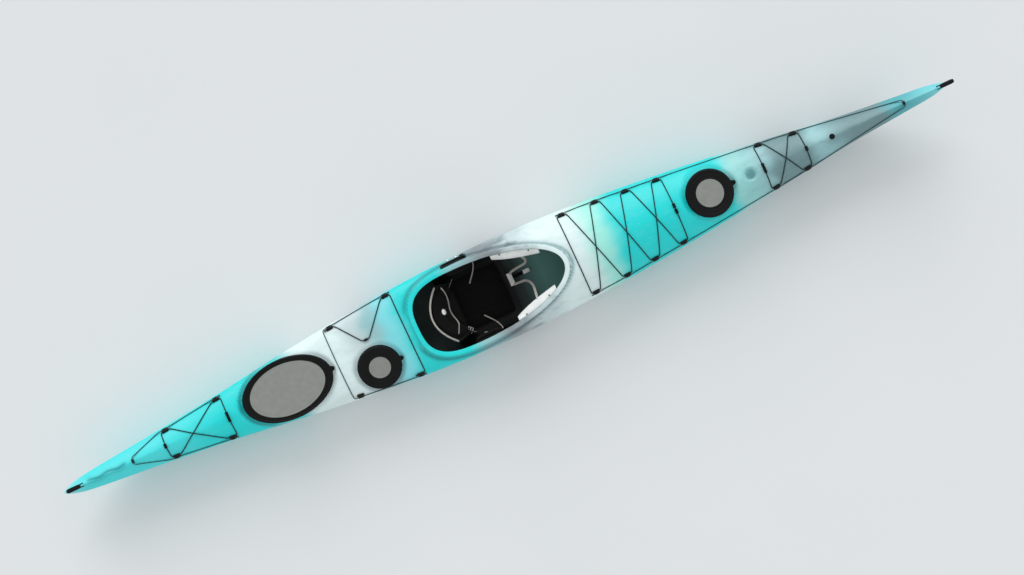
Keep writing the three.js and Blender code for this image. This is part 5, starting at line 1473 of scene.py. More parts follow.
quarter_turn = Matrix.Rotation(math.pi / 2, 4, "Z")
hook_frame = deck_frame(hook_place, 0, 1, hook_offset)
bow_padeye_frame = deck_frame(bow_padeye_place, 0, 1, 0.0) @ quarter_turn
stern_padeye_frame = deck_frame(stern_padeye_place, 0, 1, 0.0) @ quarter_turn
for name, place in (
    ("bungee_hook", hook_frame), ("bow_line_eye", bow_padeye_frame), ("stern_line_eye", stern_padeye_frame),
):
    make_fitting(name, place, padeye_shape, padeye_screw_distance)


def across_point(place, ahead, offset):
    """A point of a bungee that lies across the deck"""
    x = x_of(place) + ahead
    return np.array((x, offset, level_at(x, offset) + bungee_radius + 0.0008))


def bead_on(point, length):
    """A moulded sleeve bead on a bungee's point across the boat, with a waist and two rolled ends"""
    end = [
        (bungee_radius, 0, 0), (bead_radius * 0.7, 0, 0.002), (bead_radius, 0.003, 0.002),
        (bead_radius, 0.006, 0.001), (bead_radius * 0.86, 0.008, 0.002),
    ]
    profile = rounded_path(
        [(r, inward - length / 2, rounding) for r, inward, rounding in end]
        + [(r, length / 2 - inward, rounding) for r, inward, rounding in end[::-1]], steps=3,
    )
    middle = point[2] + (bead_radius * 0.8 - bungee_radius)
    segments = 28
    points = []
    for r, along in profile:
        for a in circle_angles(segments):
            points.append((point[0] + r * cos(a), point[1] + along, middle + r * sin(a) * 0.9))
    return mesh_from("bead", points, ring_faces(len(profile), segments))


def finish_beads(name, beads):
    finish_mesh(name, joined_mesh(name, beads), black_rubber, "boat", "black_rubber", sharp=50)


def knot_mesh(point, heading, radius):
    """An overhand knot drawn small: a tube that winds round the cord"""
    heading = np.array(heading) / norm(heading)
    side = np.cross(heading, (0, 0, 1))
    side /= norm(side)
    up = np.cross(side, heading)
    path = []
    for t in np.linspace(0, 1, 60):
        angle = TAU * 1.6 * t
        spread = radius * 0.9
        round_cord = (side * cos(angle) + up * sin(angle)) * spread
        swelling = sin(math.pi * min(1, t * 1.1)) ** 0.4
        path.append(point + heading * radius * 2.2 * (t - 0.5) + round_cord * swelling)
    return tube_mesh("knot", path, radius, 10)


def make_cord(name, route, radius, material, slot, extras=(), replaces=(), closed=False):
    parts = [tube_mesh(name, route, radius, cord_sides, closed), *extras]
    finish_mesh(name, joined_mesh(name, parts), material, "boat", slot, replaces)


across_reach = fitting_length / 2 + stand_off + cord_bend / 2
bungee = (bungee_radius, bungee_braid, "bungee")
deck_line = (line_radius, line_braid, "deck_line")


def crossing_of(aft, fore):
    return (x_of((aft[0] + fore[0]) / 2), 0.0)


def make_crossed_bungee(name, pairs, aft_bead, fore_bead, node):
    """A closed bungee through four fittings that crosses itself, with a bead on each stretch across"""
    aft, fore = pairs
    meet_ahead = np.array(deck_frame(*aft, 1) @ Vector((0.0, -bore_spread, bore_level)))
    first_in, first_out = bungee_pass(aft, 1, 1)
    passes = [
        [meet_ahead, first_out],
        bungee_pass(fore, -1, 1),
        bungee_pass(fore, 1, -1),
        bungee_pass(aft, -1, -1),
        [first_in, meet_ahead],
    ]
    route = rig_route(passes, bungee_radius, [crossing_of(aft, fore)], 1)[:-1]
    make_cord(name, route, *bungee, replaces=[node], closed=True)
    finish_beads(name + "_beads", [
        bead_on(across_point(aft[0], -across_reach, 0.0), aft_bead),
        bead_on(across_point(fore[0], across_reach, 0.0), fore_bead),
    ])


def make_foredeck_bungee():
    """One bungee that zigzags aft and back through the foredeck's fittings to meet in two beads"""
    pairs = foredeck_pairs

    def meet(offset):
        return across_point(pairs[-1][0], across_reach, first_bead_offset + offset)

    side_at = [1 if i % 2 == 0 else -1 for i in range(len(pairs))]
    passes = [[meet(0.001), meet(bead_length / 2)]]
    passes += [bungee_pass(pair, side_at[i], -1) for i, pair in enumerate(reversed(pairs))]
    passes += [bungee_pass(pair, side_at[i], 1) for i, pair in enumerate(pairs)]
    passes += [[meet(-bead_length / 2), meet(-0.001)]]
    crossings = [crossing_of(a, b) for a, b in zip(pairs[:-1], pairs[1:])]
    route = rig_route(passes, bungee_radius, crossings, len(pairs))
    make_cord("foredeck_shock_cord", route, *bungee, replaces=["foredeck_bungee"])
    finish_beads("foredeck_beads", [bead_on(meet(offset), bead_length) for offset in (0, bead_spacing)])


knot_lead = knot_radius + seat_gap
end_lead = across_lead - fitting_length / 2


def make_knotted(name, passes, radius, material, slot, node):
    """A cord with a knot at each end"""
    route = rig_route(passes, radius)
    knots = [
        knot_mesh(route[0], route[2] - route[0], radius),
        knot_mesh(route[-1], route[-1] - route[-3], radius),
    ]
    make_cord(name, route, radius, material, slot, knots, [node])


def perimeter_passes(pairs, heading, eyes):
    """A line's way along the port side, through any padeye at the end and back along the other side"""
    there, back = [], []
    for pair in pairs:
        first = knot_lead if pair == pairs[0] else stand_off
        last = end_lead if pair == pairs[-1] else stand_off
        there.append(line_pass(pair, 1, heading, first, last))
        back.append(line_pass(pair, -1, -heading, last, first))
    return there + [pass_through(eye, 0, -1, padeye_length) for eye in eyes] + back[::-1]


def make_lines():
    """The bungee behind the cockpit and the three perimeter lines"""
    aft, fore = aft_pairs
    make_knotted("aft_shock_cord", [
        bungee_pass(aft, 1, 1, knot_lead),
        pass_through(hook_frame, 0, 1, padeye_length),
        bungee_pass(fore, 1, 1),
        bungee_pass(fore, -1, -1, stand_off, knot_lead),
    ], *bungee, "aft_bungee")
    for end, pairs, heading, eyes in (
        ("aft", aft_pairs[::-1], -1, []),
        ("stern", stern_pairs[::-1], -1, [stern_padeye_frame]),
        ("bow", foredeck_pairs + bow_pairs, 1, [bow_padeye_frame]),
    ):
        passes = perimeter_passes(pairs, heading, eyes)
        make_knotted(end + "_perimeter_line", passes, *deck_line, end + "_deck_line")


make_crossed_bungee("stern_shock_cord", stern_pairs, bead_length, long_bead_length, "stern_rigging")
make_crossed_bungee("bow_shock_cord", bow_pairs, long_bead_length, bead_length, "bow_rigging")
make_foredeck_bungee()
make_lines()


# Carrying toggles
toggle_lead = 0.012
toggle_length = 0.080
toggle_half_width = 0.012
toggle_half_height = 0.0068
toggle_stations = 61
toggle_sides = 32
toggle_ribs = 9
toggle_arm = (0.032, 0.005, 0.013)
toggle_pin_radius = 0.004
toggle_pin_half = 0.0112
boss_radius = 0.010
boss_half = 0.0045
boss_foot = (0.020, 0.009, 0.018)


def crosswise(middle, half):
    """The two ends of a line across the boat"""
    return [middle - Vector((0, half, 0)), middle + Vector((0, half, 0))]


def make_toggle(name, node, body, end):
    """A ribbed rubber grip on a fork, turned away from the boat, with its pin through the deck's boss"""
    pivot = Vector(next(joint["pos_m"] for joint in frame["joints"] if joint["child"] == body))
    points = []
    for t in np.linspace(0, 1, toggle_stations):
        rounding = (1 - abs(2 * t - 1) ** 6) ** (1 / 3)
        ribs = 1 + 0.05 * sin(TAU * toggle_ribs * t) * (0.12 < t < 0.88)
        wide = max(toggle_half_width * rounding * ribs, 1e-4)
        high = max(toggle_half_height * rounding * ribs, 1e-4)
        for angle in circle_angles(toggle_sides):
            c, s, bulge = squarish(angle, 3)
            points.append((toggle_lead + toggle_length * t, wide * c * bulge, high * s * bulge))
    parts = [mesh_from(name, points, ring_faces(toggle_stations, toggle_sides))]
    arm_aside = boss_half + running_gap + toggle_arm[1] / 2
    for side in (-1, 1):
        centre = (toggle_arm[0] / 2 - 0.007, side * arm_aside, 0)
        parts.append(block_mesh("arm", toggle_arm, 0.0022, 3, centre))
    mesh = joined_mesh(name, parts)
    turn = Matrix.Identity(4) if end > 0 else Matrix.Rotation(math.pi, 4, "Z")
    mesh.transform(Matrix.Translation(pivot) @ turn)
    finish_mesh(name, mesh, toggle_rubber, body, "black_rubber", [node], sharp=50)
    pin = tube_mesh("pin", crosswise(pivot, toggle_pin_half), toggle_pin_radius, 20)
    finish_mesh(name + "_pin", pin, steel, body, "stainless", sharp=40)
    foot_centre = pivot - Vector((0, 0, boss_foot[2] / 2 - 0.001))
    boss = joined_mesh("boss", [
        tube_mesh("boss_eye", crosswise(pivot, boss_half), boss_radius, 32),
        block_mesh("boss_foot", boss_foot, 0.002, 3, foot_centre),
    ])
    finish_mesh(name + "_boss", boss, blended_plastic, "boat", "deck_plastic", sharp=40)


make_toggle("bow_toggle_grip", "bow_handle", "bow_toggle", 1)
make_toggle("stern_toggle_grip", "stern_handle", "stern_toggle", -1)


# Drain plug and the skeg's parts
def make_drain_plug():
    """A screw plug with a knurled rim and a bar to turn it by"""
    low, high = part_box("drain_plug")
    x = (low.x + high.x) / 2
    up = joint_axes["drain_plug_lift"]
    matrix = frame_matrix((x, 0, level_at(x, 0.0)), up.cross(Vector((0, -1, 0))), up)
    profile = rounded_path([
        (0.0001, -0.014, 0), (0.0085, -0.014, 0.001), (0.009, -0.003, 0.0005), (0.015, -0.0035, 0.001),
        (0.015, 0.0032, 0.0015), (0.013, 0.005, 0.001), (0.009, 0.0055, 0.001), (0.0001, 0.0055, 0),
    ], steps=3)
    segments = 60
    points = []
    for radius, height in profile:
        for a in circle_angles(segments):
            knurl = 1 + (0.025 * cos(15 * a) if radius > 0.0125 else 0)
            points.append((radius * knurl * cos(a), radius * knurl * sin(a), height))
    body = mesh_from("drain", points, ring_faces(len(profile), segments))
    bar = block_mesh("bar", (0.020, 0.0045, 0.0045), 0.0014, 3, (0, 0, 0.0065))
    mesh = joined_mesh("drain", [body, bar])
    mesh.transform(matrix)
    finish_mesh("drain_screw_plug", mesh, black_plastic, "drain", "black_plastic", ["drain_plug"], sharp=40)


make_drain_plug()


def dress(node, material, bevel=None):
    """Gives a piece of the frame its finish and soft edges"""
    piece = frame["nodes"][node]
    piece.data.materials.clear()
    piece.data.materials.append(material)
    if bevel:
        soften_edges(piece, bevel, 2, 35)


for zone in ("stern", "cockpit", "bow"):
    dress(zone + "_bulkhead", foam)
dress("skeg_cable", black_plastic)
dress("skeg_pin", steel)
for node, bevel in (
    ("skeg_box", 0.001), ("skeg_blade", 0.001), ("skeg_slider_track", 0.0014), ("skeg_slider_knob", 0.0014),
    ("foot_rail_port", 0.001), ("foot_rail_starboard", 0.001),
    ("foot_pedal_port", 0.0018), ("foot_pedal_starboard", 0.0018),
):
    dress(node, black_plastic, bevel)

slider_low, slider_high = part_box("skeg_slider_track")
slider_along = -joint_axes["slider_travel"]
slider_middle = (slider_low + slider_high) / 2


slider_screw_distance = 0.069
slider_screw_level = 0.0076
slider_screw_scale = 1.6
cap_radius = 0.0060
cap_distance = 0.0155
cap_spacing = 0.024


def make_slider_screws():
    heads = []
    for distance in (-slider_screw_distance, slider_screw_distance):
        spot = slider_middle + slider_along * distance
        rise = level_at(spot.x, spot.y + 0.0005) - level_at(spot.x, spot.y - 0.0005)
        up = slider_along.cross(Vector((0, 0.001, rise))).normalized()
        spot.z = level_at(spot.x, spot.y)
        place = frame_matrix(spot + up * slider_screw_level, slider_along, up)
        heads.append((screw, place @ Matrix.Scale(slider_screw_scale, 4)))
    finish_screws("slider_screws", heads)


def make_slider_caps():
    """White caps over the bolts that hold the slider's cable guide, beside its track"""
    dome = rounded_path([
        (0.0001, 0, 0), (cap_radius, 0, 0), (cap_radius, 0.0025, 0.002), (0.0001, 0.0045, 0),
    ], steps=4)
    caps = []
    for distance in (-cap_spacing, cap_spacing):
        spot = slider_middle + slider_along * distance
        spot.y = slider_middle.y + cap_distance
        spot.z = level_at(spot.x, spot.y) - 0.0003
        slope = (level_at(spot.x, spot.y + 0.002) - level_at(spot.x, spot.y - 0.002)) / 0.004
        up = Vector((0, -slope, 1)).normalized()
        caps.append((lathe_mesh("cap", dome, 32), frame_matrix(spot, (1, 0, 0), up)))
    mesh = joined_mesh("slider_caps", caps)
    finish_mesh("slider_caps", mesh, buckle_plastic, "boat", "brace_plastic", sharp=50)


make_slider_screws()
make_slider_caps()


# Seat and padding
seat_aft_x = x_of(0.432)
seat_length = 0.378
seat_half_width = 0.198
seat_floor = 0.030
seat_bucket = 0.070
seat_front_rise = 0.024
seat_wall = 0.004
seat_pad_inset = 0.026
seat_pad_edge = 0.008
seat_pad_thickness = 0.026
seat_pad_crown = 0.009
seat_pad_start = 0.069
skid_size = (seat_length - 0.028, 0.014, 0.020)
skid_offset = 0.070
cheek_aft_x = x_of(0.446)
cheek_length = 0.170
cheek_thickness = 0.005
cheek_inner = seat_half_width - cheek_thickness / 2
hip_pad_thickness = 0.020
hip_pad_length = 0.150
hip_pad_height = 0.084
hip_pad_base = 0.126
hip_pad_edge = 0.007
backrest_pivot = Vector(next(j["pos_m"] for j in frame["joints"] if j["name"] == "backrest_tilt"))
backrest_height = 0.180
backrest_bottom_half = 0.135
backrest_top_half = 0.165
backrest_wrap = 0.085
backrest_lean = 0.110
backrest_wall = 0.004
backrest_clear = 0.010
backrest_pad_thickness = 0.024
backrest_pad_edge = 0.006
pad_voxel = 0.006
pad_settle = 0.003
channel_depth = 0.005
cross_channel_depth = 0.004
seat_channel_width = 0.0055
back_channel_width = 0.005
back_channel_offset = 0.068
backrest_side_drop = 0.045
backrest_side_lift = 0.030
lug_height = 0.028
low_piping_x = -0.3186
low_piping_start = -0.545
leg_piping_reach = 0.26
leg_piping_drop = 0.022
top_piping_radius = 0.0052
low_piping_radius = 0.0040
leg_piping_radius = 0.0036
stud_side = 0.12
stud_height = 0.625


def pan_level(u, side):
    """The height of the pan's upper face, u from back to front and side from -1 to 1"""
    return seat_floor + seat_bucket * abs(side) ** 4 + seat_front_rise * u**3 * (1 - side**4)


def seat_point(u, v, lift):
    side = 2 * v - 1
    return np.array((seat_aft_x + seat_length * u, seat_half_width * side, pan_level(u, side) + lift))


def backrest_point(side, up, ahead):
    half = backrest_bottom_half + (backrest_top_half - backrest_bottom_half) * up
    around = side**2
    return np.array((
        backrest_pivot.x - backrest_clear + backrest_wrap * around - backrest_lean * up**1.2 + ahead,
        half * side - ahead * side / 2,
        backrest_pivot.z + backrest_height * up - backrest_side_drop * around * up
        + backrest_side_lift * around * (1 - up),
    ))


def slab_mesh(name, front, back, columns, rows):
    """A closed slab between two surfaces over u and v"""
    points = []
    for i in range(columns + 1):
        u = i / columns
        points += [front(u, j / rows) for j in range(rows + 1)]
        points += [back(u, j / rows) for j in range(rows, -1, -1)]
    size = 2 * (rows + 1)
    faces = ring_faces(columns + 1, size, caps=False)
    for i, first in ((0, True), (columns, False)):
        for j in range(rows):
            a, b = i * size + j, i * size + j + 1
            c, d = i * size + size - 2 - j, i * size + size - 1 - j
            faces.append((a, d, c, b) if first else (a, b, c, d))
    return mesh_from(name, points, faces)


def make_seat_pan():
    """The moulded pan on its skids, with a cheek, its bosses and the backrest's ear on each side"""
    parts = [slab_mesh(
        "pan", lambda u, v: seat_point(u, v, 0.0), lambda u, v: seat_point(u, v, -seat_wall), 30, 48
    )]
    aft, fore = cheek_aft_x, cheek_aft_x + cheek_length
    outline = rounded_path([
        (aft, 0.092, 0), (aft, 0.150, 0.02), (aft + 0.012, 0.262, 0.02), (aft + 0.055, 0.268, 0.012),
        (aft + 0.115, 0.268, 0.012), (fore - 0.012, 0.262, 0.02), (fore, 0.150, 0.02), (fore, 0.092, 0),
    ], steps=4)
    for side in (-1, 1):
        skid_centre = (seat_aft_x + seat_length / 2, side * skid_offset, 0.0185)
        parts.append(block_mesh("skid", skid_size, 0.002, 2, skid_centre))
        points = []
        for y in (-cheek_thickness / 2, cheek_thickness / 2):
            points += [(x, side * seat_half_width + y, z) for x, z in outline]
        parts.append(mesh_from("cheek", points, ring_faces(2, len(outline))))
        for boss_x in (aft + 0.030, fore - 0.030):
            centre = (boss_x, side * (seat_half_width + 0.0035), 0.256)
            parts.append(block_mesh("boss", (0.030, 0.007, 0.024), 0.002, 2, centre))
        ear_y = side * (0.096 - 0.0086)
        parts.append(block_mesh("ear", (0.020, 0.008, 0.048), 0.003, 3, (backrest_pivot.x, ear_y, 0.053)))
        pin = [(backrest_pivot.x, y, backrest_pivot.z) for y in (ear_y, side * 0.100)]
        parts.append(tube_mesh("pin", pin, 0.004, 16))
    mesh = joined_mesh("seat", parts)
    finish_mesh("seat_moulding", mesh, seat_plastic, "boat", "black_plastic", ["seat_pan"], sharp=35)


def swollen(mesh, limit):
    """Cloth under slight pressure, so that a pad fills out; no point moves further than the limit"""
    pad = put_in_scene("pad_in_work", mesh)
    modify(pad, "remesh", "REMESH", mode="VOXEL", voxel_size=pad_voxel)
    even = evaluated_mesh(pad)
    bpy.data.objects.remove(pad)
    pad = put_in_scene("pad_in_work", even)
    cloth = modify(pad, "cloth", "CLOTH").settings
    cloth.quality = 5
    cloth.mass = 0.3
    cloth.tension_stiffness = 25
    cloth.compression_stiffness = 25
    cloth.bending_stiffness = 1.2
    cloth.use_pressure = True
    cloth.uniform_pressure_force = 4
    cloth.effector_weights.gravity = 0
    start = points_of(even)
    scene = bpy.context.scene
    for step in range(1, 21):
        scene.frame_set(step)
    moved = evaluated_mesh(pad)
    shift = points_of(moved) - start
    length = np.maximum(norm(shift, axis=1), tiny)
    shift *= np.minimum(1, limit / length)[:, None]
    moved.vertices.foreach_set("co", (start + shift).ravel())
    moved.update()
    bpy.data.objects.remove(pad)
    scene.frame_set(1)
    return moved


def make_padded(name, mesh, node, body, limit, sewn, ceiling=None):
    """A swollen pad with its sewn channels, which stand off from neighbours by the ceiling function"""
    mesh = swollen(mesh, limit)
    points = points_of(mesh)
    normals = np.array([v.normal for v in mesh.vertices])
    points -= normals * sewn(points, normals)[:, None]
    if ceiling is not None:
        points = ceiling(points)
    mesh.vertices.foreach_set("co", points.ravel())
    mesh.update()
    piece = finish_mesh(name, mesh, seat_fabric, body, "seat_fabric", [node])
    modify(piece, "smooth", "SUBSURF", levels=1, render_levels=1)


def make_seat_pad():
    """The seat's cushion with its sewn channels, and the piping round its edge"""
    start = seat_pad_start / seat_length
    end = 1 - seat_pad_inset / seat_length
    side_share = 1 - 2 * seat_pad_inset / seat_half_width

    def at(u, v, lift):
        along = 0.5 + (u - 0.5) * (1 - lift / seat_length)
        return seat_point(start + (end - start) * along, 0.5 + (v - 0.5) * side_share, lift)

    def top(u, v):
        side, along = 2 * v - 1, 2 * u - 1
        edge = (1 - side**6) * (1 - along**6)
        crown = seat_pad_crown * (1 - side**2) * (1 - along**2)
        thickness = seat_pad_edge + (seat_pad_thickness - seat_pad_edge) * edge
        return at(u, v, seat_gap + thickness + crown - pad_settle)

    mesh = slab_mesh("seat_pad", top, lambda u, v: at(u, v, seat_gap), 40, 44)
    channel_y = seat_half_width / 3

    def sewn(points, normals):
        facing_up = np.clip(normals[:, 2] * 2 - 0.6, 0, 1)
        lengthwise = band(np.abs(points[:, 1]), channel_y, seat_channel_width)
        crosswise_channel = band(points[:, 0], seat_aft_x + seat_length * 0.72, seat_channel_width)
        return (channel_depth * lengthwise + cross_channel_depth * crosswise_channel) * facing_up

    def ceiling(points):
        """Nothing reaches into the pan"""
        side = points[:, 1] / seat_half_width
        u = np.clip((points[:, 0] - seat_aft_x) / seat_length, 0, 1)
        points[:, 2] = np.maximum(points[:, 2], pan_level(u, side) + seat_gap)
        return points

    make_padded("seat_cushion", mesh, "seat_pad", "boat", 0.005, sewn, ceiling)
    edge = []
    for t in circle_angles(160):
        c, s, bulge = squarish(t, 7)
        edge.append(at(0.5 + 0.497 * c * bulge, 0.5 + 0.497 * s * bulge, seat_gap + seat_pad_edge + 0.0015))
    piping = tube_mesh("piping", edge, 0.0017, 8, True)
    finish_mesh("seat_cushion_piping", piping, black_webbing, "boat", "seat_fabric")


def make_backrest():
    """The backrest's shell on its arms, its cushion with sewn channels, pale piping and the stud"""
    parts = [slab_mesh(
        "backrest", lambda u, v: backrest_point(2 * u - 1, v, 0.0),
        lambda u, v: backrest_point(2 * u - 1, v, -backrest_wall), 48, 16,
    )]
    for side in (-1, 1):
        centre = (backrest_pivot.x + 0.018, side * 0.096, backrest_pivot.z + 0.010)
        parts.append(block_mesh("arm", (0.040, 0.008, 0.032), 0.003, 3, centre))
    finish_mesh(
        "backrest_moulding", joined_mesh("backrest", parts), seat_plastic, "backrest", "black_plastic",
        ["backrest_shell"], sharp=35,
    )
    inset = backrest_pad_edge / backrest_top_half
    low = lug_height / backrest_height

    def face(side, v, settle):
        """The cushion's face at a side and a share v of its height"""
        edge = (1 - (side / (1 - inset)) ** 6) * (1 - (2 * v - 1) ** 4)
        thickness = backrest_pad_edge + (backrest_pad_thickness - backrest_pad_edge) * edge - settle
        return backrest_point(side, low + (1 - low - inset) * v, thickness)

    def pad_face(side, up):
        return face(side, (up - low) / (1 - low - inset), 0.0)

    def back(u, v):
        return backrest_point((2 * u - 1) * (1 - inset), low + (1 - low - inset) * v, seat_gap)

    mesh = slab_mesh(
        "backrest_pad", lambda u, v: face((2 * u - 1) * (1 - inset), v, pad_settle), back, 60, 28
    )

    def sewn(points, normals):
        facing = np.clip(normals[:, 0] * 2 - 0.4, 0, 1)
        side = np.abs(points[:, 1])
        level = backrest_pivot.z + backrest_height * 0.62
        depth = channel_depth * band(side, back_channel_offset, back_channel_width)
        across = cross_channel_depth * band(points[:, 2], level, back_channel_width)
        return (depth + across * (side < back_channel_offset)) * facing

    make_padded("backrest_cushion", mesh, "backrest_pad", "backrest", 0.005, sewn)
    top_path = [
        backrest_point((2 * u - 1) * (1 - inset), 1 - inset * 0.5, 0.002) + np.array((0, 0, 0.0015))
        for u in np.linspace(0, 1, 90)
    ]

    def height_over(side, x):
        """How far up the pad's face lies nearest to an x at a side"""
        return min(np.linspace(low + 0.05, 0.94, 240), key=lambda up: abs(pad_face(side, up)[0] - x))

    sides = np.linspace(low_piping_start, 0.93, 80)
    heights = [height_over(side, low_piping_x) for side in sides]
    heights = np.polyval(np.polyfit(sides, heights, 3), sides)
    across = [pad_face(side, up) for side, up in zip(sides, heights)]
    leg_end = low_piping_start - leg_piping_reach
    leg_height = height_over(leg_end, low_piping_x - leg_piping_drop)
    leg_sides = np.linspace(low_piping_start, leg_end, 30)
    leg = [pad_face(side, up) for side, up in zip(leg_sides, np.linspace(heights[0], leg_height, 30))]
    piping = joined_mesh("backrest_piping", [
        tube_mesh("top", top_path, top_piping_radius),
        tube_mesh("across", smoothed(across, 12), low_piping_radius),
        tube_mesh("leg", smoothed(leg, 12), leg_piping_radius),
    ])
    finish_mesh("backrest_piping", piping, piping_cord, "backrest", "seat_fabric")
    outward = Vector((backrest_height, 0, backrest_lean)).normalized()
    stud = lathe_mesh("stud", rounded_path([
        (0.0001, 0, 0), (0.0165, 0, 0.001), (0.0175, 0.004, 0.002), (0.0135, 0.0095, 0.004),
        (0.0001, 0.0115, 0),
    ], steps=4), 48)
    spot = Vector(pad_face(stud_side, stud_height))
    stud.transform(frame_matrix(spot, outward.cross(Vector((0, 1, 0))), outward))
    finish_mesh("backrest_stud", stud, buckle_plastic, "backrest", "seat_fabric", sharp=50)


# From the cushion's top outward over the pan and up the cheek, for the port side
hip_piping_points = [
    (-0.176, 0.094, 0.074), (-0.164, 0.108, 0.0735), (-0.150, 0.125, 0.070), (-0.132, 0.148, 0.0605),
    (-0.119, 0.170, 0.0745), (-0.1135, 0.186, 0.091), (-0.1125, 0.1925, 0.112), (-0.1125, 0.1930, 0.170),
]


def eased_path(corners, count=60, rounds=14):
    """A smooth path through the neighbourhood of a few points"""
    corners = np.array(corners, float)
    run = np.r_[0, np.cumsum(norm(np.diff(corners, axis=0), axis=1))]
    even = np.linspace(0, run[-1], count)
    return smoothed(np.stack([np.interp(even, run, corners[:, k]) for k in range(3)], axis=1), rounds)


def make_hip_pad(side_name, side):
    """A cushion on the cheek's inner face with one sewn channel, and the pale piping before it"""
    base = cheek_inner - seat_gap
    aft_x = cheek_aft_x + (cheek_length - hip_pad_length) / 2

    def at(u, v, depth):
        x = aft_x + hip_pad_length * u
        return np.array((x, side * (base - depth), hip_pad_base + hip_pad_height * v))

    def swell(u, v):
        edge = (1 - (2 * u - 1) ** 4) * (1 - (2 * v - 1) ** 4)
        return hip_pad_edge + (hip_pad_thickness - hip_pad_edge) * edge - 0.002

    mesh = slab_mesh("hip_pad", lambda u, v: at(u, v, swell(u, v)), lambda u, v: at(u, v, 0), 28, 18)

    def sewn(points, normals):
        facing = np.clip(-side * normals[:, 1] * 2 - 0.4, 0, 1)
        return 0.003 * band(points[:, 0], cheek_aft_x + cheek_length / 2, back_channel_width) * facing

    make_padded("hip_cushion_" + side_name, mesh, "hip_pad_" + side_name, "boat", 0.003, sewn)
    path = eased_path([(x, side * y, z) for x, y, z in hip_piping_points])
    piping = tube_mesh("piping", path, 0.0036, 10)
    finish_mesh("hip_piping_" + side_name, piping, piping_cord, "boat", "seat_fabric")


def ribbon_mesh(name, path, across, width, thickness):
    """Flat webbing along a path; across gives the direction of its width at each point"""
    path = np.array(path)
    points = []
    for point, direction, cross in zip(path, np.gradient(path, axis=0), across):
        cross = np.array(cross, float)
        cross /= norm(cross)
        normal = np.cross(direction, cross)
        normal /= max(norm(normal), tiny)
        for angle in circle_angles(ribbon_sides):
            c, s, bulge = squarish(angle, 4)
            points.append(point + cross * width / 2 * c * bulge + normal * thickness / 2 * s * bulge)
    return mesh_from(name, points, ring_faces(len(path), ribbon_sides))


ribbon_sides = 16


def buckle_mesh(width, length, thickness=0.003):
    """A ladder buckle: a frame with a middle bar"""
    bar = (0.004, width, thickness)
    rail = (length + 0.004, 0.003, thickness)
    parts = [block_mesh("bar", bar, 0.0012, 2, (x, 0, 0)) for x in (-length / 2, 0, length / 2)]
    parts += [block_mesh("rail", rail, 0.0012, 2, (0, y, 0)) for y in (-width / 2, width / 2)]
    return joined_mesh("buckle", parts)


def make_strap(side_name, side):
    """The webbing from the cheek's boss back to the backrest, with its buckle"""
    front = cheek_aft_x + cheek_length - 0.030
    outer = side * (cheek_inner - seat_gap)
    path = []
    for t in np.linspace(0, 1, 30):
        path.append((front - 0.110 * t, outer - side * (0.001 + 0.038 * t**2), 0.112))
    finish_mesh(
        "backrest_webbing_" + side_name, ribbon_mesh("strap", path, [(0, 0, 1)] * 30, 0.022, 0.0018),
        black_webbing, "boat", "seat_fabric", ["backrest_strap_" + side_name],
    )
    buckle = buckle_mesh(0.026, 0.020)
    middle = Vector(path[16]) - Vector((0, side * 0.0018, 0))
    buckle.transform(frame_matrix(middle, Vector(path[15]) - Vector(path[17]), (0, -side, 0)))
    finish_mesh("strap_buckle_" + side_name, buckle, buckle_plastic, "boat", "brace_plastic", sharp=40)


def level_across(path, lean=0.0):
    """The directions across a path that lie level, or lean by a little"""
    ahead = np.gradient(path, axis=0)
    return np.stack([-ahead[:, 1], ahead[:, 0], np.full(len(path), lean)], axis=1)


def flat_strap(name, corners, width, thickness, material):
    """Webbing along a path with its flat side up"""
    path = eased_path(corners)
    mesh = ribbon_mesh("strap", path, level_across(path), width, thickness)
    finish_mesh(name, mesh, material, "boat", "seat_fabric")


def make_backrest_lead(side_name, side):
    """The webbing that joins the backrest's side to the cheek's strap"""
    fixed = Vector((-0.252, side * 0.156, 0.112))
    held = Vector((-0.318, side * 0.104, 0.118))
    path = eased_path([
        fixed, (-0.266, side * 0.143, 0.116), (-0.285, side * 0.124, 0.120),
        (-0.303, side * 0.110, 0.120), held,
    ], 40)
    parts = [ribbon_mesh("lead", path, level_across(path, side * 0.012), 0.018, 0.0024)]
    if side < 0:
        above = Vector(path[16]) + Vector((0, 0, 0.0022))
        turn = frame_matrix(above, Vector(path[17] - path[15]), (0, 0, 1))
        parts.append((buckle_mesh(0.030, 0.026, 0.004), turn))
    mesh = joined_mesh("lead", parts)
    lead = finish_mesh("backrest_lead_" + side_name, mesh, piping_cord, None, "seat_fabric")
    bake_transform(lead)


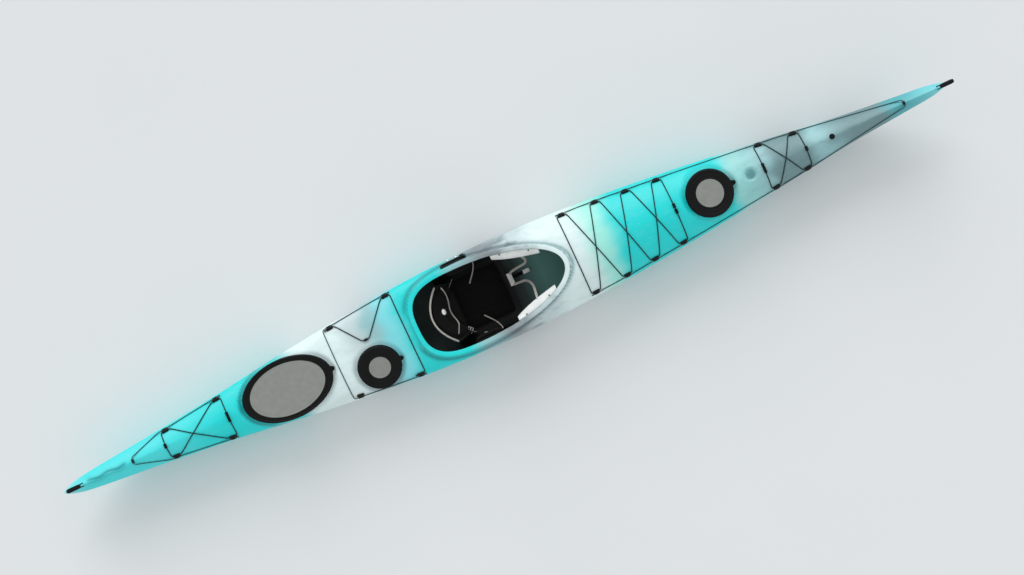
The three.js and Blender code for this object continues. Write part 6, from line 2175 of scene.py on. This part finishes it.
def make_leg_lift_straps():
    """Pale webbing that lifts the seat's front: a handle over its lip and a strap to each thigh brace"""
    handle_path = [(0.036, y, 0.0555) for y in np.linspace(0.056, -0.016, 24)]
    handle = ribbon_mesh("handle", handle_path, [(1, 0, -0.35)] * 24, 0.028, 0.0034)
    finish_mesh("leg_lift_handle", handle, pale_webbing, "boat", "seat_fabric")
    flat_strap("leg_lift_strap_port", [
        (0.040, 0.050, 0.058), (0.058, 0.059, 0.078), (0.105, 0.066, 0.120), (0.139, 0.070, 0.170),
        (0.150, 0.090, 0.225), (0.136, 0.116, 0.292),
    ], 0.013, 0.0022, piping_cord)
    flat_strap("leg_lift_strap_starboard", [
        (0.040, -0.012, 0.058), (0.068, -0.014, 0.074), (0.100, -0.013, 0.105), (0.122, -0.028, 0.145),
        (0.131, -0.052, 0.185), (0.127, -0.082, 0.235), (0.120, -0.124, 0.292),
    ], 0.013, 0.0022, piping_cord)
    flat_strap("leg_lift_tail", [
        (0.038, 0.022, 0.054), (0.052, 0.024, 0.044), (0.080, 0.025, 0.022), (0.110, 0.026, 0.0125),
        (0.150, 0.026, 0.0115),
    ], 0.018, 0.0022, black_webbing)
    catch = block_mesh("catch", (0.040, 0.024, 0.009), 0.0042, 5, (0.130, 0.026, 0.0165))
    slot = block_mesh("slot", (0.006, 0.016, 0.004), 0.0012, 2, (0.120, 0.026, 0.0205))
    finish_mesh("leg_lift_catch", cut_mesh(catch, slot), buckle_plastic, "boat", "brace_plastic", sharp=50)


brace_aft_x = x_of(0.497)
brace_fore_x = x_of(0.545)
brace_reach = 0.042
brace_drop = 0.014
brace_sag = 0.018
brace_thickness = 0.008


def make_thigh_brace(side_name, side):
    """A curved pad that reaches inward from the coaming over the thigh, with its two screws"""

    def edge_at(x):
        along = min(1, max(0, (x - coaming_wide_x) / (coaming_front_x - coaming_wide_x)))
        return coaming_half_width * (1 - along**coaming_front_fullness) ** (1 / coaming_front_fullness)

    def at(u, v, depth):
        x = brace_aft_x + (brace_fore_x - brace_aft_x) * u
        reach = brace_reach * sin(math.pi * (0.12 + 0.76 * u)) ** 0.6
        y = side * (edge_at(x) - running_gap - reach * v)
        level = float(crown_height(x, edge_at(x))) + coaming_rise - brace_drop
        return np.array((x, y, level - brace_sag * v**2 - depth))

    mesh = slab_mesh(
        "brace", lambda u, v: at(u, v, 0.0015 * (2 * v - 1) ** 4),
        lambda u, v: at(u, v, brace_thickness), 36, 14,
    )
    piece = finish_mesh(
        "thigh_pad_" + side_name, mesh, brace_plastic, "boat", "brace_plastic",
        ["thigh_brace_" + side_name], sharp=60,
    )
    soften_edges(piece, 0.0016, 3, 30)
    heads = []
    for u in (0.2, 0.8):
        turn = frame_matrix(Vector(at(u, 0.22, 0)), (1, 0, 0), (0, 0, 1))
        heads.append((screw, turn @ Matrix.Scale(1.4, 4)))
    finish_screws("thigh_screws_" + side_name, heads)


make_seat_pan()
make_seat_pad()
make_backrest()
for side_name, side in hands:
    make_hip_pad(side_name, side)
    make_strap(side_name, side)
    make_backrest_lead(side_name, side)
    make_thigh_brace(side_name, side)
make_leg_lift_straps()


# Stage
floor_reach = 60


def make_stage():
    """A pale floor under the keel and plain soft light"""
    floor = bpy.data.meshes.new("floor")
    corners = [(x * floor_reach, y * floor_reach, 0) for x, y in ((-1, -1), (1, -1), (1, 1), (-1, 1))]
    floor.from_pydata(corners, [], [(0, 1, 2, 3)])
    material, tree, shader = new_material("pale_floor")
    cloud = noise(tree, object_place(tree), 0.8, 3.0)
    colour = mix_colour(tree, cloud, srgb(226, 230, 232), srgb(232, 235, 236))
    feed(tree, shader, {"Base Color": colour, "Roughness": 0.9})
    floor.materials.append(material)
    piece = put_in_scene("floor", floor)
    piece.location.z = cad_low.z
    world = bpy.data.worlds.new("studio")
    bpy.context.scene.world = world
    world.use_nodes = True
    background = world.node_tree.nodes["Background"]
    background.inputs["Color"].default_value = (0.98, 0.99, 1.0, 1.0)
    background.inputs["Strength"].default_value = 0.74
    lamp = bpy.data.lights.new("key", "SUN")
    lamp.energy = 1.35
    lamp.angle = 0.7
    light = put_in_scene("key", lamp)
    light.rotation_mode = "QUATERNION"
    light.rotation_quaternion = Vector((0.1, 0.9, 0.5)).to_track_quat("Z", "Y")
    bpy.context.scene.view_settings.view_transform = "Standard"


make_stage()
